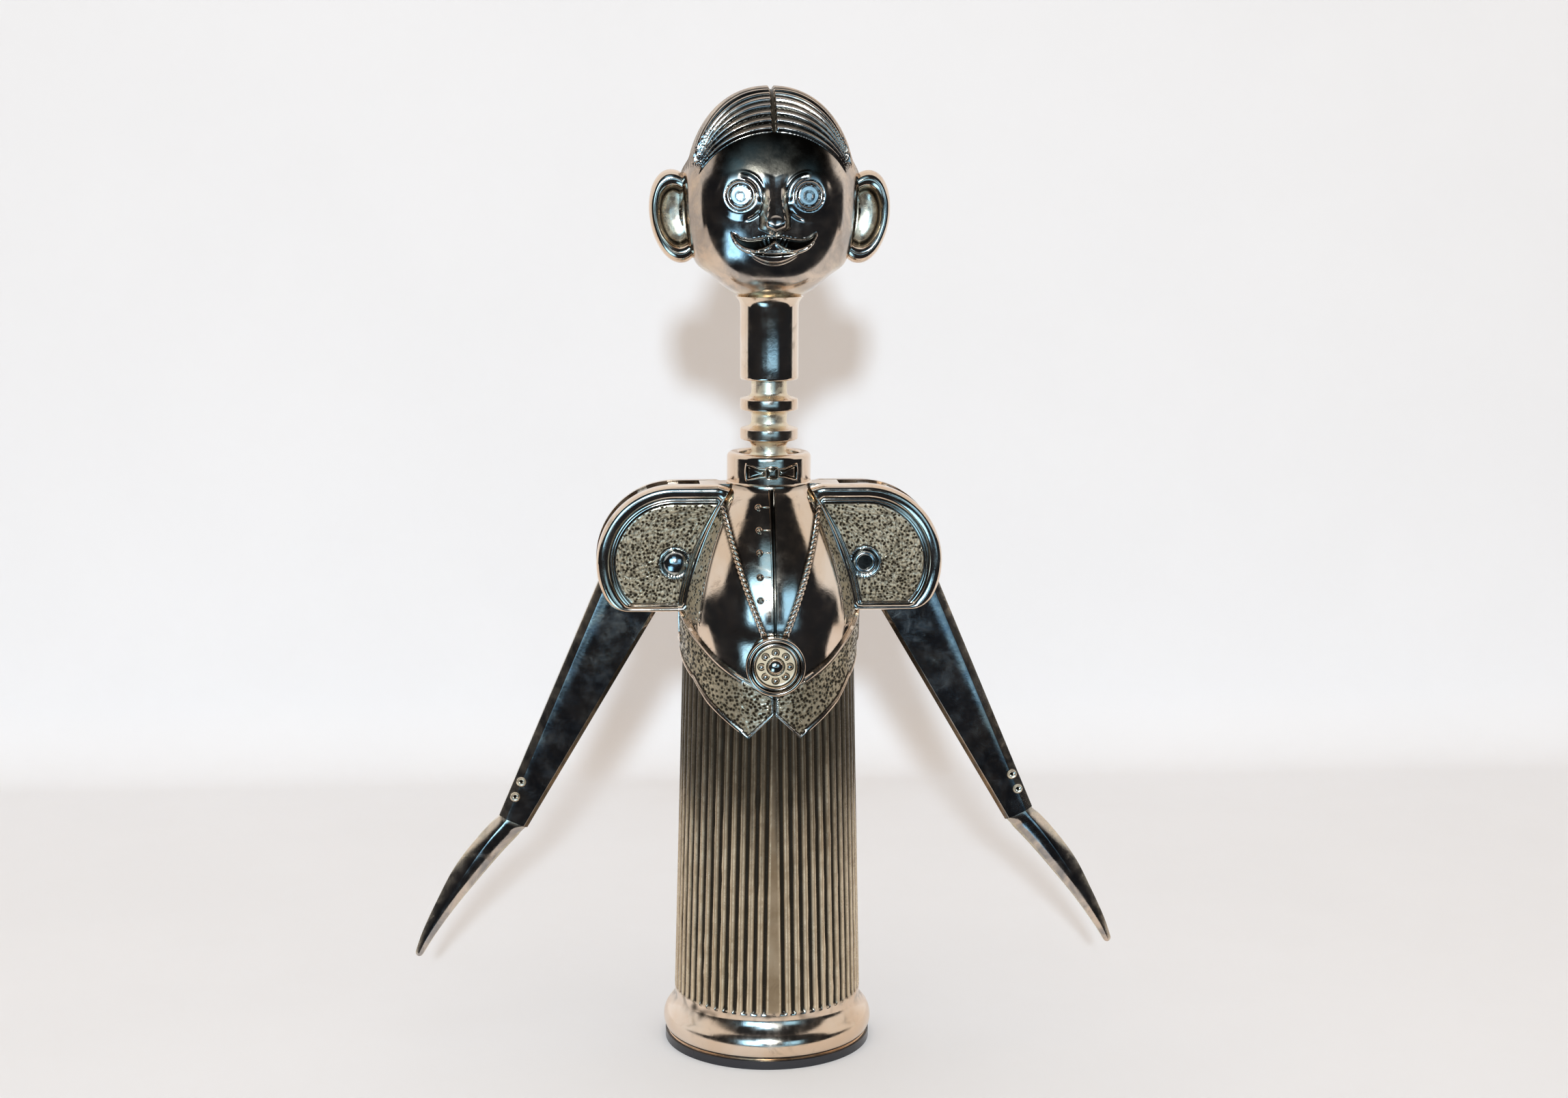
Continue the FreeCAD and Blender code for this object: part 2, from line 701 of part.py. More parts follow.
def rack_spindle():
    """Turned rod: pinned land for the worm, rack rings, neck and the stud for the head."""
    slope_length = land_radius - rack_core_radius
    points = [
        at_xz(0, land_bottom_z),
        at_xz(land_radius, land_bottom_z),
        at_xz(land_radius, land_top_z - slope_length),
    ]
    for index in range(ring_count):
        points += ring_corners(lowest_ring_z + index * ring_pitch)
    points += [
        at_xz(rack_core_radius, step_z),
        at_xz(stud_radius, step_z),
        at_xz(stud_radius, stud_top_z),
        at_xz(0, stud_top_z),
    ]
    rod = turned_polygon(points)
    rod = rod.cut(disc(worm_shank_radius + pin_fit, land_bottom_z - OVERCUT, shank_top_z + pin_fit))
    rod = rod.cut(worm_pin_hole())
    return rod.cut(cross_disc(head_pin_radius + pin_fit, 0, head_pin_z, -head_radius, head_radius))


def neck_sleeve():
    """Smooth tube between the neck rings and the chin."""
    flare_z = sleeve_top_z - sleeve_flare_height
    flare_top = at_xz(rack_tip_radius + sleeve_flare, sleeve_top_z)
    flare_start = at_xz(rack_tip_radius, flare_z)
    flare_middle = at_xz(rack_tip_radius + sleeve_flare_bend, sleeve_top_z - sleeve_flare_bend_drop)
    core = rack_core_radius + seat_fit
    bore = stud_radius + seat_fit
    edges = [arc(flare_start, flare_middle, flare_top)]
    edges += polyline([
        flare_top, at_xz(bore, sleeve_top_z), at_xz(bore, step_z), at_xz(core, step_z),
        at_xz(core, sleeve_bottom_z), at_xz(rack_tip_radius, sleeve_bottom_z), flare_start,
    ])
    return turned(edges)


def coil_point(turns, z_share):
    """A point of the wire's centre line, where 0 is the tip and 1 is the last full turn."""
    coil_radius = worm_radius - worm_wire_radius
    angle = 2.0 * math.pi * turns * z_share
    z = worm_tip_z + (coil_top_z - worm_tip_z) * z_share
    return Vector(coil_radius * math.cos(angle), coil_radius * math.sin(angle), z)


def wire_section(path, parameter, radius):
    """A round wire section square to the path, with its seam always on the outside."""
    point = path.value(parameter)
    tangent = path.tangent(parameter)[0]
    outward = Vector(point.x, point.y, 0)
    if outward.Length < 0.01:
        outward = Vector(1, 0, 0)
    turn = Rotation(outward, tangent.cross(outward), tangent, "ZXY")
    circle = Part.makeCircle(radius)
    circle.Placement = FreeCAD.Placement(point, turn)
    return Part.Wire(circle)


def swept_wire(path, start, end, start_radius, end_radius):
    """Round wire along a stretch of the path, as thick as stated at each end."""
    wire = Part.BRepOffsetAPI.MakePipeShell(Part.Wire(path.toShape(start, end)))
    wire.setBiNormalMode(AXIS_Z)
    wire.add(wire_section(path, start, start_radius))
    if start_radius != end_radius:
        wire.add(wire_section(path, end, end_radius))
    wire.build()
    wire.makeSolid()
    return wire.shape()


def worm():
    """Open wire helix with a sharpened tip, whose top turn runs in to a straight shank."""
    turns = (coil_top_z - worm_tip_z) / worm_pitch
    steps = math.ceil(turns * STEPS_PER_TURN)
    points = [coil_point(turns, index / steps) for index in range(steps + 1)]
    coil_radius = worm_radius - worm_wire_radius
    top_angle = 2.0 * math.pi * turns
    run_steps = math.ceil(2.0 * worm_run_in_turns * STEPS_PER_TURN)
    for index in range(1, run_steps + 1):
        share = index / run_steps
        angle = top_angle + 2.0 * math.pi * worm_run_in_turns * share
        radius = coil_radius * (1.0 - share ** 1.6)
        z = coil_top_z + worm_run_in * (0.4 * share + 0.6 * share * share)
        points.append(Vector(radius * math.cos(angle), radius * math.sin(angle), z))
    path = Part.BSplineCurve()
    path.interpolate(Points=points)
    length = path.LastParameter - path.FirstParameter
    taper_end = path.FirstParameter + worm_taper_turns / (turns + worm_run_in_turns) * length
    helix = swept_wire(path, taper_end, path.LastParameter, worm_wire_radius, worm_wire_radius)
    point = swept_wire(path, path.FirstParameter, taper_end, worm_point_radius, worm_wire_radius)
    shank_bottom_z = land_bottom_z - worm_collar_length
    shank = disc(worm_shank_radius, shank_bottom_z, shank_top_z)
    neck_low_z = land_bottom_z - worm_neck_length - worm_collar_overlap
    neck = Part.makeCone(
        worm_wire_radius, worm_shank_radius, shank_bottom_z - neck_low_z, at_xz(0, neck_low_z), AXIS_Z,
    )
    whole = helix.fuse(point).fuse(neck).fuse(shank)
    return whole.cut(worm_pin_hole())


def worm_pin():
    """Cross pin that holds the worm in the land of the rack, just below its surface."""
    half_length = land_radius - pin_sink
    return Part.makeCylinder(
        pin_radius, 2.0 * half_length, Vector(-half_length, 0, pin_z), Vector(1, 0, 0),
    )


# ---- Head ---------------------------------------------------------------------------------------

def head_egg(wall):
    """Rounded-square egg about the spindle axis, drawn in by a wall."""
    count = QUARTER_POINTS
    points = []
    for index in range(-count, count + 1):
        turn = math.radians(90.0 * index / count)
        low = turn < 0
        rise = head_centre_z - head_bottom_z if low else head_top_z - head_centre_z
        power = 2.0 / head_squareness_ratio
        radius = (head_radius - wall) * max(math.cos(turn), 0.0) ** power
        height = (rise - wall) * abs(math.sin(turn)) ** power
        points.append(at_xz(radius, head_centre_z + (-height if low else height)))
    points[0].x = 0.0
    points[-1].x = 0.0
    side = smooth(points, Vector(1, 0, 0), Vector(-1, 0, 0))
    return turned([side] + polyline([points[-1], points[0]]))


def ear():
    """Right ear: a leaning oval plate with a hollow in front."""
    centre = Vector(ear_offset, 0, head_centre_z - ear_drop)
    outside = oval_plate(centre, ear_half_width, ear_half_height, ear_lean, -ear_front, ear_back)
    hollow_width = ear_half_width - ear_rim
    hollow_height = ear_half_height - ear_rim
    floor_y = ear_back - ear_rim
    return outside.cut(
        oval_plate(centre, hollow_width, hollow_height, ear_lean, -ear_front - OVERCUT, floor_y)
    )


def nose():
    """Straight nose with a ball at its tip."""
    tip_z = head_centre_z - nose_drop
    tip_y = -(head_radius + nose_reach)
    bridge = Vector(0, -(head_radius - nose_bridge_radius), tip_z + nose_length)
    tip = Vector(0, tip_y, tip_z)
    along = bridge - tip
    cone = Part.makeCone(nose_root_radius, nose_bridge_radius, along.Length, tip, along)
    cone = cone.fuse(Part.makeSphere(nose_bridge_radius, bridge))
    return cone.fuse(Part.makeSphere(nose_tip_radius, tip))


def moustache():
    """Two halves that rise to their outer ends."""
    z = head_centre_z - moustache_drop
    y = moustache_sink - head_radius
    centre = Vector(moustache_offset, y, z)
    right = spindle_shape(centre, moustache_half, moustache_thickness, moustache_lift)
    return right.fuse(mirrored(right))


def head_halves():
    """Face shell with ears, nose and boss, and the back shell behind the seam."""
    egg = head_egg(0.0)
    hollow = head_egg(head_wall)
    right_ear = ear()
    front_room = Part.makeBox(
        4.0 * head_radius, 3.0 * head_radius, 2.0 * head_height,
        Vector(-2.0 * head_radius, head_seam - 3.0 * head_radius, head_bottom_z - 0.5 * head_height),
    )
    face = egg.common(front_room)
    for feature in (right_ear, mirrored(right_ear), nose(), moustache()):
        face = face.fuse(feature)
    face = face.cut(hollow)
    boss = disc(head_boss_radius, sleeve_top_z, stud_top_z + head_wall).common(front_room)
    face = face.fuse(boss)
    seat = disc(rack_tip_radius + sleeve_flare, head_bottom_z - OVERCUT, sleeve_top_z)
    stud_hole = disc(stud_radius + seat_fit, head_bottom_z, stud_top_z + seat_fit)
    pin_hole = cross_disc(head_pin_radius + pin_fit, 0, head_pin_z, -stud_radius - head_pin_run - side_clearance, head_radius)
    face = face.cut(seat).cut(stud_hole).cut(pin_hole)
    back = egg.cut(front_room).cut(hollow).cut(seat).cut(pin_hole)
    return face.removeSplitter(), back.removeSplitter()


def head_pin():
    """Pin from the nape through the boss and the stud, so that the head can't unscrew."""
    pin = cross_disc(head_pin_radius, 0, head_pin_z, -stud_radius - head_pin_run, head_radius)
    return pin.common(head_egg(0.0))


# ---- All pieces ---------------------------------------------------------------------------------

def pieces():
    """Every piece by the name of its node."""
    lever = right_lever()
    face_shell, back_shell = head_halves()
    return {
        "body_casting": body_casting(),
        "bottle_guide": bottle_guide(),
        "tastevin_medallion": tastevin_medallion(),
        "left_pivot_rivet": pivot_rivet(-pivot_x, -1),
        "right_pivot_rivet": pivot_rivet(pivot_x, 1),
        "pivot_washers": pivot_washers(),
        "right_lever": lever,
        "left_lever": mirrored(lever),
        "collar_guide_bush": collar_guide_bush(),
        "rack_spindle": rack_spindle(),
        "neck_sleeve": neck_sleeve(),
        "worm": worm(),
        "worm_pin": worm_pin(),
        "head_face_shell": face_shell,
        "head_back_shell": back_shell,
        "head_pin": head_pin(),
    }


os.makedirs("parts", exist_ok=True)
for name, shape in pieces().items():
    shape.exportStep("parts/" + name + ".step")
    print(f"{name}: {len(shape.Solids)} solid(s), {shape.Volume / 1000.0:.2f} cm3, valid {shape.isValid()}")
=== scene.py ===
import json
import math

import bmesh
import bpy
from bpy.props import FloatProperty, FloatVectorProperty, IntProperty, PointerProperty
from mathutils import Matrix, Vector, noise


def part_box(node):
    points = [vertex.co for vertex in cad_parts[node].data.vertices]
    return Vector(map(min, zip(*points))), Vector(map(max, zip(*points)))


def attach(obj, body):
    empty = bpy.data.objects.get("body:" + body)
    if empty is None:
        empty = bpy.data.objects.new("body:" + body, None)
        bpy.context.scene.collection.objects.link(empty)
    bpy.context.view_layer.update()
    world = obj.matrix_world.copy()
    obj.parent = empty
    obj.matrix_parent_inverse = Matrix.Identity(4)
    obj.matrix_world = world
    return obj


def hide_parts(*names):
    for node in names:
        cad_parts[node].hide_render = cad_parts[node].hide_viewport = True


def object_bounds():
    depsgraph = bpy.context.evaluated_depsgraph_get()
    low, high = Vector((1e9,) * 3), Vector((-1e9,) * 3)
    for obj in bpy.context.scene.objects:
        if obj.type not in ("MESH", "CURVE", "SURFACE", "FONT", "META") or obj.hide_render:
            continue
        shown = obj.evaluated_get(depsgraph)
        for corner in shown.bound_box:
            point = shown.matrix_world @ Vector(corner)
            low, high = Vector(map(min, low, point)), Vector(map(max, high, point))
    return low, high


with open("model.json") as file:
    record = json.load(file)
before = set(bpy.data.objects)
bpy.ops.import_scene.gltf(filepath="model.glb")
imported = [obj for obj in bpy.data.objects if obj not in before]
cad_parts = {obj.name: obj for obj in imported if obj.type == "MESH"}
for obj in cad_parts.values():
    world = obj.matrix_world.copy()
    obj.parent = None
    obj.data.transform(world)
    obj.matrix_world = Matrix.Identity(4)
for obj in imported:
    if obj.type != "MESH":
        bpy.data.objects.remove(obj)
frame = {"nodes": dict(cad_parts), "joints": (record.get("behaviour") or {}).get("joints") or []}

bl_info = {
    "name": "Wine waiter corkscrew",
    "version": (1, 0, 0),
    "blender": (4, 5, 0),
    "location": "3D View > Sidebar > Waiter",
    "description": "Builds the dressed pieces of a double-lever corkscrew shaped as a wine waiter",
    "category": "Add Mesh",
}

# Pieces are modelled in millimetres about the figure's own axis and scaled when they are finished.
MM = 0.001
CAD_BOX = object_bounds()


def node_box(name):
    """Lowest and highest corner of a CAD node in millimetres."""
    low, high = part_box(name)
    return low / MM, high / MM


def joint_point(name):
    """Where a joint turns, in millimetres."""
    for joint in frame["joints"]:
        if joint["name"] == name:
            return Vector(joint["pos_m"]) / MM
    raise RuntimeError(f"the frame has no joint named {name}")


BODY_HIGH = node_box("body_casting")[1]
GUIDE_LOW = node_box("bottle_guide")[0]
BUSH_LOW, BUSH_HIGH = node_box("collar_guide_bush")
MEDAL_LOW, MEDAL_HIGH = node_box("tastevin_medallion")
SLEEVE_LOW = node_box("neck_sleeve")[0]
RACK_LOW = node_box("rack_spindle")[0]
FACE_LOW, FACE_HIGH = node_box("head_face_shell")
LEVER_LOW = node_box("right_lever")[0]
PIVOT = joint_point("right_pivot")
# Height of the plain egg, with room for the combed hair above it.
HEAD_TOP = FACE_HIGH.z - 0.45


# ---- Settings -------------------------------------------------------------------------------------

def size(name, default, description):
    """A length setting in metres."""
    return FloatProperty(name=name, description=description, default=default * MM, min=0.0,
                         unit="LENGTH", precision=5)


def tint(name, default, description):
    """A colour setting."""
    return FloatVectorProperty(name=name, description=description, default=default, size=3,
                               subtype="COLOR", min=0.0, max=1.0)


class TrouserSettings(bpy.types.PropertyGroup):
    flutes: IntProperty(name="Flutes per leg", description="Pleats on each half of the barrel",
                        default=29, min=8, max=60)
    flute_depth: size("Flute depth", 0.55, "How deep each groove is cut")
    flute_width: size("Flute width", 1.35, "Width of each groove at the surface")
    front_rib_low: size("Front rib, low", 2.35, "Half the plain front rib above the base ring")
    front_rib_high: size("Front rib, high", 1.2, "Half the plain front rib below the waistcoat")
    ring_radius: size("Base ring radius", 25.4, "Largest radius of the rolled base ring")
    low_radius: size("Barrel radius, low", 22.65, "Barrel radius above the base ring")
    waist_radius: size("Barrel radius, waist", 20.6, "Barrel radius at the waist")
    ring_height: size("Base ring height", 12.6, "Height where the base ring meets the flutes")
    waist_height: size("Waist height", 95.0, "Height of the waist")


class WaistcoatSettings(bpy.types.PropertyGroup):
    hem_relief: size("Hem relief", 0.62, "How far the hem stands proud of the belly")
    hem_edge: size("Hem edge width", 0.75, "Width of the polished line along both hem edges")
    hem_grain: size("Hem grain", 0.62, "Size of the hammered grain on the hem")
    placket: size("Placket width", 1.15, "Width of the raised strip down the shirt front")
    button: size("Button radius", 0.72, "Radius of the ring buttons")
    button_wire: size("Button wire", 0.2, "Half thickness of a ring button")
    chain_strand: size("Chain strand", 0.42, "Half thickness of each strand of the neck chain")
    chain_twist: size("Chain twist", 3.0, "Length of one turn of the twisted chain")
    medal_bead: size("Medallion bead", 0.72, "Radius of the eight beads in the medallion")
    medal_circle: size("Medallion bead circle", 3.3, "Radius on which the beads sit")
    collar_radius: size("Collar radius", 10.0, "Outside radius of the collar")
    mouth_radius: size("Collar mouth", 7.2, "Radius of the opening in the collar")
    bow_half: size("Bow tie half width", 6.1, "Half the width of the bow tie")


class ShoulderSettings(bpy.types.PropertyGroup):
    radius: size("Shoulder radius", 18.6, "Radius of the shoulder about the pivot")
    corner: size("Lower corner", 6.0, "Radius of the lower outer corner")
    rim: size("Rim width", 4.4, "Width of the rolled rim around the panel")
    rim_low: size("Lower rim width", 2.0, "Width of the rim along the bottom")
    half_depth: size("Half depth", 6.7, "Half the depth of the shoulder")
    slot_half: size("Slot half width", 3.3, "Half the slot in which the lever swings")
    panel_sink: size("Panel sink", 0.75, "How far the hammered panel lies below the rim")
    grain: size("Hammered grain", 0.72, "Size of the hammer marks on the panel")
    grain_depth: size("Hammer depth", 0.2, "Depth of the hammer marks")


class NeckSettings(bpy.types.PropertyGroup):
    ring_radius: size("Ring radius", 6.9, "Outside radius of the neck rings")
    core_radius: size("Core radius", 4.2, "Radius between the neck rings")
    pitch: size("Ring pitch", 7.0686, "Distance from ring to ring")
    ring_half: size("Ring half width", 1.26, "Half the width of a ring at its rim")
    ring_edge: size("Ring edge", 0.35, "Radius of the rounded ring edges")
    fillet: size("Root fillet", 1.35, "Radius of the sweep from the core into a ring")


class HeadSettings(bpy.types.PropertyGroup):
    radius: size("Head radius", 19.3, "Half the width of the head without the ears")
    centre: size("Head centre", 204.0, "Height of the widest part of the head")
    flatness: FloatProperty(name="Head depth", default=0.84, min=0.4, max=1.0,
                            description="Half the depth of the head as a share of half its width")
    plan_power: FloatProperty(name="Head plan", description="Squareness of the head seen from above",
                              default=2.9, min=2.0, max=6.0)
    eye_offset: size("Eye offset", 7.8, "Distance of each eye from the middle")
    eye_height: size("Eye height", 205.2, "Height of the eyes")
    eye_ring: size("Eye ring", 3.35, "Radius of the outer eye ring")
    eye_turn: FloatProperty(name="Eye turn", description="Sideways slope of the flat eyes", default=0.17,
                            min=-1.0, max=1.0)
    nose_reach: size("Nose reach", 4.5, "How far the nose stands out")
    moustache_relief: size("Moustache relief", 1.0, "How far the moustache stands out")
    hair_relief: size("Hair relief", 0.6, "Height of each comb ridge")
    hair_step: FloatProperty(name="Comb step", description="Angle between two comb ridges",
                             default=math.radians(6.3), subtype="ANGLE")
    ear_swell: size("Ear root", 1.4, "How far the head swells towards the ears")
    ear_half_width: size("Ear half width", 6.3, "Half the width of an ear")
    ear_half_height: size("Ear half height", 10.9, "Half the height of an ear")
    ear_lean: FloatProperty(name="Ear lean", description="How far the ears lean outwards at the top",
                            default=math.radians(9.0), subtype="ANGLE")


class ArmSettings(bpy.types.PropertyGroup):
    outer_bevel: size("Outer bevel", 1.9, "Width of the bevel on the outer edge of the sleeve")
    inner_bevel: size("Inner bevel", 1.0, "Width of the bevel on the inner edge of the sleeve")
    bevel_drop: size("Bevel drop", 1.3, "How far the bevels fall towards the back")
    cuff_step: size("Cuff step", 0.3, "How far the sleeve stands out over the hand")
    cuff_button: size("Cuff button", 1.15, "Radius of the two sleeve buttons")
    half_depth: size("Half depth", 2.7, "Half the depth of the sleeve")


class FinishSettings(bpy.types.PropertyGroup):
    bright: tint("Bright silver", (0.88, 0.74, 0.61), "Polished silver plate")
    warm: tint("Warm silver", (0.80, 0.60, 0.43), "Silver plate gone champagne")
    dull: tint("Dull silver", (0.66, 0.58, 0.42), "Matt silver of hammered fields")
    dull_warm: tint("Dull warm silver", (0.46, 0.39, 0.26), "Matt silver of hammered fields gone brown")
    hem: tint("Hem silver", (0.29, 0.24, 0.155), "Matt silver of the hem")
    hem_warm: tint("Hem warm silver", (0.18, 0.145, 0.09), "Matt silver of the hem gone brown")
    fluted: tint("Fluted silver", (0.58, 0.44, 0.29), "Matt silver between the flutes")
    fluted_warm: tint("Fluted warm silver", (0.42, 0.30, 0.18), "Matt silver between the flutes gone brown")
    stain: tint("Stain", (0.17, 0.115, 0.07), "Brown tarnish stains")
    # Recess is also the colour of painted shade where the tarnish layer carries it.
    recess: tint("Recess", (0.035, 0.028, 0.02), "Black tarnish in the grooves")
    # Cream is also the colour of painted highlights and reflections where the cream layer carries them.
    cream: tint("Cream", (0.88, 0.76, 0.55), "Yellowed silver in sheltered places and on hammered ridges")
    smoke: tint("Smoke", (0.24, 0.245, 0.255), "Blue grey tarnish film on face and levers")
    nickel: tint("Nickel", (0.72, 0.69, 0.62), "Rivets")
    steel: tint("Worm steel", (0.62, 0.61, 0.58), "Worm and pins")
    plastic: tint("Black plastic", (0.006, 0.006, 0.0065), "Bottle guide and bush")
    nylon: tint("Nylon", (0.72, 0.69, 0.6), "Pivot washers")


class StageSettings(bpy.types.PropertyGroup):
    paper: tint("Paper", (0.88, 0.875, 0.88), "Floor and backdrop paper")
    backdrop: tint("Backdrop", (0.90, 0.90, 0.93), "What is seen past the paper")
    ambient: tint("Ambient", (0.59, 0.50, 0.42), "Soft light on the paper and on dull surfaces")
    room: tint("Room", (0.012, 0.015, 0.020), "The dark room that the metal shows")
    ceiling: tint("Ceiling", (0.32, 0.34, 0.40), "The lighter ceiling that the metal shows")
    ceiling_start: FloatProperty(name="Ceiling start", default=0.84, min=0.0, max=0.88,
                                 description="Height of direction where the ceiling begins")
    flash_power: FloatProperty(name="Flash", description="Power of the small front lamp in watts",
                               default=9.0, min=0.0)
    overhead_power: FloatProperty(name="Overhead", default=2.4, min=0.0,
                                  description="Power of the large soft lamp above in watts")
    window: tint("Window", (0.30, 0.64, 1.0), "Soft window light in front that the metal shows")
    window_strength: FloatProperty(name="Window strength", description="Brightness of the window",
                                   default=4.5, min=0.0)
    sides: tint("Sides", (0.80, 0.80, 0.80), "Light walls beside the figure that the metal shows")
    room_side: FloatProperty(name="Room side", default=0.15, min=-1.0, max=1.0,
                             description="Direction towards the back where the light walls begin")
    wall_lean: FloatProperty(name="Wall lean", default=0.5, min=0.0, max=1.0,
                             description="How much further forward the light walls reach high up")
    wall_distance: size("Backdrop distance", 265.0, "How far the backdrop stands behind the figure")
    wall_height: size("Backdrop height", 1100.0, "Height of the backdrop")
    paper_front: size("Paper front", 58.0, "How far the paper reaches in front of the figure's axis")
    paper_half_width: size("Paper half width", 730.0, "Half the width of the paper")
    paper_bend: size("Paper bend", 25.0, "Radius of the bend between floor and wall")


SETTINGS = {
    "waiter_trousers": TrouserSettings,
    "waiter_waistcoat": WaistcoatSettings,
    "waiter_shoulders": ShoulderSettings,
    "waiter_neck": NeckSettings,
    "waiter_head": HeadSettings,
    "waiter_arms": ArmSettings,
    "waiter_finish": FinishSettings,
    "waiter_stage": StageSettings,
}


def settings(group):
    """The settings of one group on the scene."""
    return getattr(bpy.context.scene, "waiter_" + group)


def mm(value):
    """A length setting in millimetres."""
    return value / MM


# ---- Small sums -----------------------------------------------------------------------------------

def clamp(value, low=0.0, high=1.0):
    """The value, kept between low and high."""
    return max(low, min(high, value))


def ease(low, high, value):
    """0 below low, 1 above high and a smooth step between them."""
    share = clamp((value - low) / (high - low))
    return share * share * (3.0 - 2.0 * share)


def bead(distance, half_width):
    """Rounded ridge of height 1 on a line, 0 from half_width away."""
    share = distance / half_width
    return math.sqrt(1.0 - share * share) if abs(share) < 1.0 else 0.0


def swell(distance, half_width):
    """Soft ridge of height 1 that leaves the surface without an edge."""
    share = clamp(abs(distance) / half_width)
    return (1.0 - share * share) ** 2


def along_table(table, key):
    """Value of a smooth curve through the (key, value) pairs of a table."""
    if key <= table[0][0]:
        return table[0][1]
    if key >= table[-1][0]:
        return table[-1][1]
    index = next(i for i in range(len(table) - 1) if key <= table[i + 1][0])
    (k0, v0), (k1, v1) = table[index], table[index + 1]
    before = table[max(index - 1, 0)]
    after = table[min(index + 2, len(table) - 1)]
    slope0 = (v1 - before[1]) / (k1 - before[0])
    slope1 = (after[1] - v0) / (after[0] - k0)
    span = k1 - k0
    t = (key - k0) / span
    return ((2 * t ** 3 - 3 * t ** 2 + 1) * v0 + (t ** 3 - 2 * t ** 2 + t) * span * slope0
            + (3 * t ** 2 - 2 * t ** 3) * v1 + (t ** 3 - t ** 2) * span * slope1)


def full_turn(steps):
    """Angles of a full round in even steps; the last stands where the first does."""
    return [2.0 * math.pi * step / steps for step in range(steps + 1)]


def polar(x, z, reach, turn):
    """The point at a distance and angle from another."""
    return x + reach * math.cos(turn), z + reach * math.sin(turn)


def squared_quarter(share, power):
    """Height of a squared quarter round of reach 1, from 1 in its middle to 0 at its edge."""
    return (1.0 - share ** power) ** (1.0 / power)


def straight_table(table, key):
    """Value of a polyline through the (key, value) pairs of a table."""
    if key <= table[0][0]:
        return table[0][1]
    for (k0, v0), (k1, v1) in zip(table, table[1:]):
        if key <= k1:
            return v0 + (v1 - v0) * (key - k0) / (k1 - k0)
    return table[-1][1]


def hammered(point, grain):
    """Height from 0 to 1 of a hammered surface at a point."""
    near, next_near = noise.voronoi(point / grain)[0][:2]
    return clamp((next_near - near) * 1.7) - 0.35 * clamp(0.45 - near)


def rounded_profile(corners, steps):
    """Points of a half section whose corners (radius, height, rounding) are rounded off."""
    points = []
    for index, (radius, height, rounding) in enumerate(corners):
        here = Vector((radius, height))
        if rounding <= 0.0 or index in (0, len(corners) - 1):
            points.append(here)
            continue
        back = Vector(corners[index - 1][:2]) - here
        onward = Vector(corners[index + 1][:2]) - here
        half_turn = 0.5 * back.angle(onward)
        cut = min(rounding / math.tan(half_turn), 0.49 * back.length, 0.49 * onward.length)
        start = here + back.normalized() * cut
        end = here + onward.normalized() * cut
        for step in range(steps + 1):
            t = step / steps
            points.append(start * (1 - t) ** 2 + here * 2 * t * (1 - t) + end * t ** 2)
    return [(p.x, p.y) for p in points]


# ---- Mesh making ----------------------------------------------------------------------------------

# What a vertex says of its finish: black tarnish, which in places is painted shade; hammered grain;
# cream-tinted silver, which in places is a painted highlight or reflection.
LAYERS = ("tarnish", "grain", "cream")


def new_shape():
    """An empty bmesh with the layers that the finishes read."""
    bm = bmesh.new()
    for name in LAYERS:
        bm.verts.layers.float.new(name)
    return bm


def colour_in(bm, vert, values):
    """Writes tarnish, grain and cream of a vertex, in that order; those left out are 0."""
    for name, value in zip(LAYERS, values):
        vert[bm.verts.layers.float[name]] = value


def darken(bm, verts, tarnish):
    """Gives fresh vertices one tarnish."""
    for vert in verts:
        colour_in(bm, vert, (tarnish,))


def add_sheet(bm, columns, rows, place):
    """Bends a grid into shape. place(u, v) gives a point and, if wanted, tarnish, grain and cream."""
    grid = bmesh.ops.create_grid(bm, x_segments=columns, y_segments=rows, size=0.5)
    for vert in grid["verts"]:
        placed = place(vert.co.x + 0.5, vert.co.y + 0.5)
        if isinstance(placed, Vector):
            vert.co = placed
        else:
            vert.co = placed[0]
            colour_in(bm, vert, placed[1:])
    return grid["verts"]


def add_turned(bm, profile, steps, centre=(0, 0, 0), axis="Z"):
    """Spins a half section of (radius, height, tarnish, grain, cream) points about Z, Y or -Y."""
    before = set(bm.verts)
    section = [bm.verts.new((entry[0], 0.0, entry[1])) for entry in profile]
    for vert, entry in zip(section, profile):
        colour_in(bm, vert, entry[2:])
    edges = [bm.edges.new(pair) for pair in zip(section, section[1:])]
    bmesh.ops.spin(bm, geom=section + edges, cent=(0, 0, 0), axis=(0, 0, 1), dvec=(0, 0, 0),
                   angle=2.0 * math.pi, steps=steps, use_merge=True, use_duplicate=False)
    bmesh.ops.remove_doubles(bm, verts=[vert for vert in bm.verts if vert not in before], dist=1e-4)
    made = [vert for vert in bm.verts if vert not in before]
    if axis != "Z":
        tilt = math.radians(90.0 if axis == "Y" else -90.0)
        bmesh.ops.rotate(bm, verts=made, cent=(0, 0, 0), matrix=Matrix.Rotation(tilt, 3, "X"))
    bmesh.ops.translate(bm, verts=made, vec=Vector(centre))


def add_ball(bm, centre, radius, segments, squash=(1, 1, 1)):
    """A ball, squashed along the axes where wanted."""
    made = bmesh.ops.create_uvsphere(bm, u_segments=segments, v_segments=segments // 2 + 2, radius=radius)
    bmesh.ops.scale(bm, verts=made["verts"], vec=squash)
    bmesh.ops.translate(bm, verts=made["verts"], vec=Vector(centre))
    return made["verts"]


